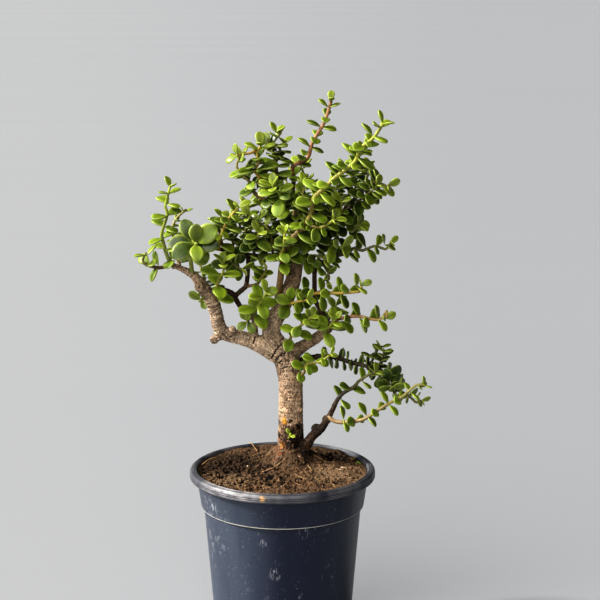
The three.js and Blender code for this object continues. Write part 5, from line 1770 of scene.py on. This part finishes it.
@dataclass
class Wood:
    """The trunk, limbs, old twigs and roots, grown together.

    A zone is a place, where it is full and where it ends. A knot is a place and a radius, and a mark is a
    place, a reach and a strength. A crease is a row of x and z on the wood's front.
    """

    voxel: float = 0.8
    ring_step: float = 5
    thick: float = 6  # a limb that starts wider than this has more sides
    sides: tuple = (14, 24)
    soften: int = 2
    ringed: tuple = ((-67, 18, 328), 24, 36)
    # the zone that is painted paler as painted light
    painted_light: tuple = ((-40, 18, 312), 42, 72)
    forked: tuple = ((2, 20, 284), 12, 24)
    knots: tuple = ((-79, 8, 355, 5.0), (-66, 18, 301, 4.4), (-48, 13, 312, 3.9), (-58, 19, 350, 3.4),
                    (12, 27, 275, 6.2), (-29, 22, 302, 4.8), (43, 14, 222, 4.6), (33, 16, 212, 5.2),
                    (13, 31, 379, 7.2), (17, 33, 400, 4.8), (-24, 18, 296, 4.6), (11, 15, 281, 4.4),
                    (3, 15, 300, 3), (17.5, 16, 231, 2.4))
    marks: tuple = (
        (MarkKind.AMBER, (0.5, 12.5, 220.5, 4.6, 1), (-1.5, 14, 196, 4.5, 0.5)),
        (MarkKind.SCAR, (-15.8, 12, 294.1, 3.2, 1)),
        (MarkKind.RUST, (4, 12, 196, 26, 1), (4, 14, 182, 24, 1)),
        # near-black patches: partly painted shade, on the trunk foot's right side and at the soil
        (MarkKind.CHAR, (7, 11.5, 221, 3.4, 1), (-4.6, 22, 217, 4.6, 1), (17, 14, 214, 5.6, 1),
         (14, 12, 196, 7, 1), (20, 15, 186, 9, 1), (3, 9, 186, 5, 0.7), (-79, 3, 355.5, 1.6, 0.8),
         (-4, 7, 173, 13, 0.7), (14, 5, 174, 14, 0.8), (16, 13, 204, 8, 0.85), (-4, 20, 205, 4.5, 0.9),
         (6, 9, 181, 11, 0.75), (-69, 13, 299, 6, 0.6), (37, 12, 212, 12, 0.7), (11, 12, 201, 18, 0.85),
         (2, 12, 209, 9, 0.6)))
    creases: tuple = (((-10.8, 282.3), (-7.6, 288.6), (-4.0, 294.2), (-1.3, 296.2)),
                      ((-7.0, 278.3), (-4.7, 283.2), (-0.4, 287.9)), ((-3.7, 277.9), (-0.3, 281.7)),
                      ((1.0, 286.1), (3.5, 290.4), (6.0, 294.0)), ((-0.6, 273.0), (5.2, 275.4)),
                      ((-28.2, 297.8), (-26.2, 303.9)), ((-57.8, 308.1), (-52.3, 302.1)),
                      ((-54.3, 310.1), (-49.5, 304.3)))
    crease_half: float = 0.95
    crease_depth: float = 1.5
    neighbours: int = 7
    blend: float = 1.2
    limb_shift: float = 31.7  # how far each limb's grain is moved along, so that no two limbs look alike

    def rough(self) -> Shape:
        """Returns the tubes and knots, each closed and pushed into its neighbours."""
        shape = bmesh.new()
        for limb in ALL_LIMBS:
            sweep(shape, even_frames(limb.route, self.ring_step), self.sides[limb.route[0][3] > self.thick])
        for *spot, radius in self.knots:
            bmesh.ops.create_icosphere(shape, subdivisions=3, radius=radius, matrix=Matrix.Translation(spot))
        return shape

    def joined(self) -> Shape:
        """Returns the tubes grown into one skin of small even faces."""
        lump = stand("rough_wood", self.rough())
        grow = lump.modifiers.new("one_skin", "REMESH")
        grow.mode, grow.voxel_size, grow.adaptivity = "VOXEL", self.voxel, 0
        apply_modifiers(lump)
        shape = bmesh.new()
        shape.from_mesh(lump.data)
        bpy.data.objects.remove(lump)
        for _ in range(self.soften):
            bmesh.ops.smooth_vert(shape, verts=shape.verts, factor=0.5, use_axis_x=True, use_axis_y=True,
                                  use_axis_z=True)
        return shape

    @staticmethod
    def share_in(zone: tuple, spot: Point) -> float:
        """Returns 1 where a zone is full and 0 beyond its end."""
        middle, inner, outer = zone
        return ramp(math.dist(spot, middle), (inner, 1), (outer, 0))

    def crease(self, spot: Vector) -> float:
        """Works out how deep in a crease of the wood's front a place lies.

        Args:
            spot: The place.

        Returns:
            The depth, from 0 to 1.
        """
        nearest = self.crease_half
        for line in self.creases:
            for (x, z), (end_x, end_z) in zip(line, line[1:]):
                run_x, run_z = end_x - x, end_z - z
                share = clamp(((spot.x - x) * run_x + (spot.z - z) * run_z) / (run_x**2 + run_z**2))
                gap = math.hypot(spot.x - x - share * run_x, spot.z - z - share * run_z)
                nearest = min(nearest, gap + 0.25 * noise.noise(spot / 2))
        return clamp(1 - nearest / self.crease_half)

    def bark_relief(self, place: Frame, grain: Vector) -> float:
        """Works out the bark's relief at a place on the wood.

        Args:
            place: The nearest frame of the limb.
            grain: The place across and along the limb.

        Returns:
            The relief, from about -1 in a crack to 1 on a ridge.
        """
        x, y, along = grain
        thick = clamp((place.radius - 5) / 6)
        lumps = noise.noise((x / 7, y / 7, along / 9 + place.radius))
        fissures = noise.noise((x / 1.7, y / 1.7, along / 5.5))
        wrinkles = noise.noise((x / 9, y / 9, along / 1.25))
        bands = noise.noise((x / 10, y / 10, along / 2.2))
        fine = noise.noise((x / 0.9, y / 0.9, along / 0.9))
        near, far = noise.voronoi((x / 2.6, y / 2.6, along / 3.2))[0][:2]
        split = 0.25 + 0.55 * thick + self.share_in(self.forked, place.at)
        cracks = -max(0.0, 0.9 - 6 * abs(fissures)) * split
        rings = wrinkles * (1.1 - 0.5 * thick)
        rings -= 4.5 * self.share_in(self.ringed, place.at) * max(0.0, 0.42 - 4 * abs(bands))
        scales = min((far - near) * 2.4, 1) - 0.75
        return 0.5 * lumps + cracks + 0.6 * rings + (0.75 - 0.35 * thick) * scales + 0.3 * fine

    def mark(self, vertex: bmesh.types.BMVert, layers: dict, crease: float) -> None:
        """Keeps on a vertex how strong each kind of mark is there.

        Args:
            vertex: The vertex.
            layers: The kinds' layers.
            crease: How deep in a crease it lies.
        """
        for kind, *spots in self.marks:
            layer = layers[kind]
            for *spot, reach, strength in spots:
                gap = math.dist(vertex.co, spot) / reach
                if gap < 1.4:
                    ragged = gap + 0.45 * noise.noise(vertex.co / 2.2)
                    vertex[layer] = max(vertex[layer], strength * ramp(ragged, (0.6, 1), (1.05, 0)))
        # Painted shade: the creases of the wood's front are painted near black.
        vertex[layers[MarkKind.CHAR]] = max(vertex[layers[MarkKind.CHAR]], 0.95 * crease)

    def shaped(self) -> Shape:
        """Returns the skin with its bark raised, and with what the finish reads kept on it."""
        shape = self.joined()
        samples = [(place, limb.bark.value, self.limb_shift * number) for number, limb in enumerate(ALL_LIMBS)
                   for place in framed_line(smooth_line(limb.route, FINE_STEP))]
        tree = kdtree.KDTree(len(samples))
        for i, (place, _, _) in enumerate(samples):
            tree.insert(Vector(place.at), i)
        tree.balance()
        relief, dark, ringed, painted_light = (shape.verts.layers.float.new(name)
                                          for name in ("relief", "dark", "ringed", "painted_light"))
        grain_layer = shape.verts.layers.float_vector.new("grain")
        layers = {kind: shape.verts.layers.float.new(kind.value) for kind in MarkKind}
        shape.normal_update()
        moves = []
        for vertex in shape.verts:
            near = [(math.dist(vertex.co, samples[i][0].at) - samples[i][0].radius, i)
                    for _, i, _ in tree.find_n(vertex.co, self.neighbours)]
            best, nearest = min(near)
            place, _, start = samples[nearest]
            offset = vertex.co - Vector(place.at)
            grain = Vector((offset.dot(Vector(place.side)), offset.dot(Vector(place.across)),
                            start + place.length + offset.dot(Vector(place.along))))
            crease = self.crease(vertex.co) if vertex.co.y < place.at[1] - 3 else 0.0
            lift = self.bark_relief(place, grain) - self.crease_depth * crease
            weights = [math.exp((best - gap) / self.blend) for gap, _ in near]
            vertex[grain_layer] = grain * MM
            vertex[ringed] = self.share_in(self.ringed, place.at)
            vertex[painted_light] = self.share_in(self.painted_light, place.at)
            vertex[dark] = sum(w * samples[i][1] for w, (_, i) in zip(weights, near)) / sum(weights)
            vertex[relief] = clamp(0.5 + 0.45 * lift)
            self.mark(vertex, layers, crease)
            depth = ramp(place.radius, (2, 0.2), (6, 0.46), (12, 0.7))
            moves.append(vertex.normal * lift * depth)
        for vertex, move in zip(shape.verts, moves):
            vertex.co += move
        return shape

    def build(self, finish: Finish) -> None:
        """Makes the wood's piece."""
        finish_piece("trunk_and_limbs", self.shaped(), [finish], "bark", "wood")


# ---------------------------------------------------------------- shoots
@dataclass
class LeafShape:
    """How a leaf's mesh is drawn: a fleshy spoon from a coarse ball."""

    segments: int = 8
    rings: int = 9
    thickness: float = 0.11  # of its length, from its middle to its upper or lower face
    width: tuple = ((0, 0.1), (0.06, 0.17), (0.12, 0.27), (0.25, 0.57), (0.41, 0.87), (0.58, 1), (0.75, 0.97),
                    (0.88, 0.76), (0.97, 0.4), (1, 0))
    depth: tuple = ((0, 0.3), (0.06, 0.32), (0.12, 0.38), (0.25, 0.6), (0.41, 0.85), (0.58, 1), (0.75, 0.95),
                    (0.88, 0.72), (0.97, 0.4), (1, 0))
    tip: float = 0.985

    def add(self, shape: Shape, leaf: Leaf, layers: dict, tone: float, draw: Draw) -> None:
        """Adds a leaf.

        Args:
            shape: The shoot's bmesh.
            leaf: Where the leaf lies.
            layers: The layers of what the finish reads.
            tone: How light the leaf is.
            draw: The row of random numbers that bends it.
        """
        cup, twist, bloom = draw.between(0.06, 0.3), draw.between(-0.3, 0.3), draw.between(0, 1)
        broad, point = draw.between(0.8, 1.04) * (1 - 0.15 * leaf.young), draw.between(0.0, 0.5)
        half = leaf.length / 2 * RULE.width * broad
        made = bmesh.ops.create_uvsphere(shape, u_segments=self.segments, v_segments=self.rings,
                                         radius=1)["verts"]
        for vertex in made:
            x, y, z = vertex.co
            share = (1 - z) / 2
            girth = math.hypot(x, y)
            across, lift = (x / girth, y / girth) if girth > 1e-5 else (0.0, 0.0)
            flat = 0.55 * lift**0.45 if lift > 0 else -abs(lift) ** 0.85
            narrow = 1 - point * max(0.0, share - 0.62)
            side = across * ramp(share, *self.width) * half * narrow
            rise = flat * ramp(share, *self.depth) * self.thickness * leaf.length
            rise += cup * abs(across) * abs(side)
            rise -= RULE.arch * leaf.length * share * share
            turn = twist * share * share
            side, rise = (side * math.cos(turn) - rise * math.sin(turn),
                          rise * math.cos(turn) + side * math.sin(turn))
            vertex.co = Vector(leaf.root + leaf.along * share * self.tip * leaf.length
                               + leaf.across * side + leaf.up * rise)
            vertex[layers["margin"]] = abs(across) if 0.1 < share < 0.999 else 1.0
            vertex[layers["under"]] = max(0.0, -lift)
            vertex[layers["tone"]] = tone
            vertex[layers["young"]] = min(1.0, 0.6 * leaf.young**2 + 0.45 * max(0.0, 1 - share / 0.16))
            vertex[layers["bloom"]] = bloom


@dataclass
class Foliage:
    """All leafy shoots: each is one piece with its stems and leaves."""

    leaf_shape: LeafShape = field(default_factory=LeafShape)
    stem_step: float = 4
    stem_sides: int = 10
    tone_chance: float = 0.75
    crowd_reach: float = 17
    crowd: tuple = (5, 17)  # painted shade: from how many near leaves a leaf is painted darker, and at how many most
    crowd_shade: float = 0.42
    fill_seed: int = 5000
    node_half: float = 1.6  # how far along a stem the swelling of a leaf pair reaches
    node_swell: float = 0.14
    foot_swell: float = 0.2
    foot_reach: float = 5
    inset: float = 0.05  # how far inside the CAD box every leaf stays

    def stem(self, shape: Shape, stem: Stem, layers: dict) -> None:
        """Adds a stem with the swellings where its leaf pairs grow.

        Args:
            shape: The shoot's bmesh.
            stem: The stem.
            layers: The layers of what the finish reads.
        """
        frames = even_frames(stem.course(), self.stem_step)

        def swelling(length: float) -> float:
            """Works out how near a place is to a leaf pair.

            Args:
                length: How far along the stem the place is.

            Returns:
                The nearness, from 0 to 1.
            """
            phase = (length - stem.bare) / stem.gap
            away = abs(phase - round(phase)) * stem.gap / self.node_half
            return max(0.0, 1 - away) if phase > -0.3 else 0.0

        def radius_at(place: Frame) -> float:
            """Returns the stem's radius with its swellings and its broad foot."""
            foot = self.foot_swell * max(0.0, 1 - place.length / self.foot_reach)
            return place.radius * (1 + self.node_swell * swelling(place.length) + foot)

        for i, vertex in enumerate(sweep(shape, frames, self.stem_sides, radius_at)):
            length = frames[min(max(i // self.stem_sides - 1, 0), len(frames) - 1)].length
            vertex[layers["run"]] = length / frames[-1].length
            vertex[layers["scar"]] = swelling(length)
            for face in vertex.link_faces:
                face.material_index = 1

    def shade_of(self, leaf: Leaf, thicket: Thicket) -> float:
        """Works out how much painted shade a leaf gets: it is painted darker where many other leaves crowd
        round it.

        Args:
            leaf: The leaf.
            thicket: All leaves.

        Returns:
            What comes off its tone.
        """
        gaps = np.linalg.norm(thicket.middles[:thicket.count] - leaf.middle, axis=1)
        few, many = self.crowd
        return self.crowd_shade * ramp(float((gaps < self.crowd_reach).sum()), (few, 0), (many, 1))

    def shoot(self, number: int, thicket: Thicket) -> Shape:
        """Makes a shoot's mesh.

        Args:
            number: The shoot's place among all shoots.
            thicket: All leaves.

        Returns:
            The bmesh.
        """
        shape, shoot = bmesh.new(), SHOOTS[number]
        names = ("margin", "under", "tone", "young", "bloom", "run", "scar")
        layers = {name: shape.verts.layers.float.new(name) for name in names}
        for stem in shoot.stems:
            self.stem(shape, stem, layers)
        draw = Draw(RULE.first_seed + number)
        for leaf in thicket.leaves[number]:
            # The tone carries painted shade for crowded leaves.
            tone = clamp(shoot.tone + self.tone_chance * draw() - self.shade_of(leaf, thicket))
            self.leaf_shape.add(shape, leaf, layers, tone, draw)
        low, high = (np.array(corner) / MM for corner in CAD_BOX)
        for vertex in shape.verts:
            vertex.co = Vector(np.clip(np.array(vertex.co), low + self.inset, high - self.inset))
        return shape

    def build(self, leaf_finish: Finish, stem_finishes: dict[Tint, Finish]) -> None:
        """Makes every shoot's piece.

        Args:
            leaf_finish: The leaves' skin.
            stem_finishes: The stems' skins by their tint.
        """
        thicket = Thicket(ALL_LIMBS, SHOOTS)
        stems = [(i, RULE.seed_step * i + k, shoot, stem) for i, shoot in enumerate(SHOOTS)
                 for k, stem in enumerate(shoot.stems)]
        for i, seed, _, stem in stems:
            thicket.grow(stem, RULE.first_seed + seed, i)
        log.info("%d leaves by the rule", thicket.count)
        for i, seed, shoot, stem in stems:
            if shoot.fill:
                thicket.fill(stem, self.fill_seed + seed, i, shoot.fill)
        log.info("%d leaves with those between the pairs", thicket.count)
        for i, shoot in enumerate(SHOOTS):
            finish_piece(f"shoot_{shoot.name}", self.shoot(i, thicket),
                         [leaf_finish, stem_finishes[shoot.tint]], "leaves", shoot.name)


# ---------------------------------------------------------------- studio
@dataclass
class Studio:
    """The camera, the lights and the pale floor; a sun is its name, its way, its strength and its width."""

    camera_place: Point = (17, -1678.3, 697.6)
    camera_pitch: float = 11.9
    lens: float = 108
    sensor: float = 36
    clip_end: float = 200
    suns: tuple = (("key", (-0.84, -0.035, 0.55), 6.4, 8), ("fill", (-0.4, -0.66, 0.64), 3.1, 60))
    sun_colour: tuple = (1, 0.97, 0.92)
    sky_left: str = "#d4dce4"
    sky_right: str = "#5d646e"
    sky_strength: float = 0.13
    floor_radius: float = 60000
    floor_drop: float = 0.2

    def camera(self) -> None:
        """Sets the camera up."""
        data = bpy.data.cameras.new("camera")
        data.lens, data.sensor_width, data.clip_end = self.lens, self.sensor, self.clip_end
        camera = bpy.data.objects.new("camera", data)
        camera.location = [value * MM for value in self.camera_place]
        camera.rotation_euler = (math.radians(90 - self.camera_pitch), 0, 0)
        bpy.context.scene.collection.objects.link(camera)
        bpy.context.scene.camera = camera

    def lights(self) -> None:
        """Sets a key light on the left, a soft one in front and a sky that is lighter on the left."""
        for name, way, strength, angle in self.suns:
            data = bpy.data.lights.new(name, "SUN")
            data.energy, data.angle, data.color = strength, math.radians(angle), self.sun_colour
            sun = bpy.data.objects.new(name, data)
            sun.rotation_mode = "QUATERNION"
            sun.rotation_quaternion = Vector(way).to_track_quat("Z", "Y")
            bpy.context.scene.collection.objects.link(sun)
        world = bpy.data.worlds.new("sky")
        world.use_nodes = True
        wiring = Wiring(world.node_tree)
        way = wiring.node("ShaderNodeTexCoord").outputs["Generated"]
        across = wiring.span(wiring.node("ShaderNodeSeparateXYZ", {0: way}).outputs["X"], -0.8, 0.6)
        sky = world.node_tree.nodes["Background"].inputs
        wiring.feed(sky["Color"], wiring.mix(across, self.sky_left, self.sky_right))
        sky["Strength"].default_value = self.sky_strength
        bpy.context.scene.world = world
        bpy.context.scene.view_settings.view_transform = "Standard"
        bpy.context.scene.view_settings.look = "Medium High Contrast"

    def floor(self, finish: Finish) -> None:
        """Lays the floor just under the pot.

        Args:
            finish: The ground's finish.
        """
        shape = bmesh.new()
        bmesh.ops.create_circle(shape, segments=64, radius=self.floor_radius * MM, cap_ends=True)
        bmesh.ops.translate(shape, vec=(0, 0, -self.floor_drop * MM), verts=shape.verts)
        floor = stand("floor", shape)
        floor.data.materials.append(finish)

    def build(self, finish: Finish) -> None:
        """Sets up the whole studio.

        Args:
            finish: The ground's finish.
        """
        self.camera()
        self.lights()
        self.floor(finish)


def main() -> None:
    """Builds the studio, the pot, its soil, the wood and the shoots, in that order."""
    logging.basicConfig(level=logging.INFO, format="%(message)s")
    Studio().build(FloorFinish().material())
    pot = NurseryPot()
    pot.build(PlasticFinish().material())
    chip, bit = StrawFinish("pale_chip", "#c9b694", "#8d7354"), StrawFinish("leaf_bit", "#8fae4a", "#5f7d2e")
    SoilBed(pot).build(SoilFinish().material(), StrawFinish().material(), chip.material(), bit.material())
    Wood().build(BarkFinish().material())
    Foliage().build(LeafFinish().material(), {tint: StemFinish(tint).material() for tint in Tint})


if __name__ == "__main__":
    main()
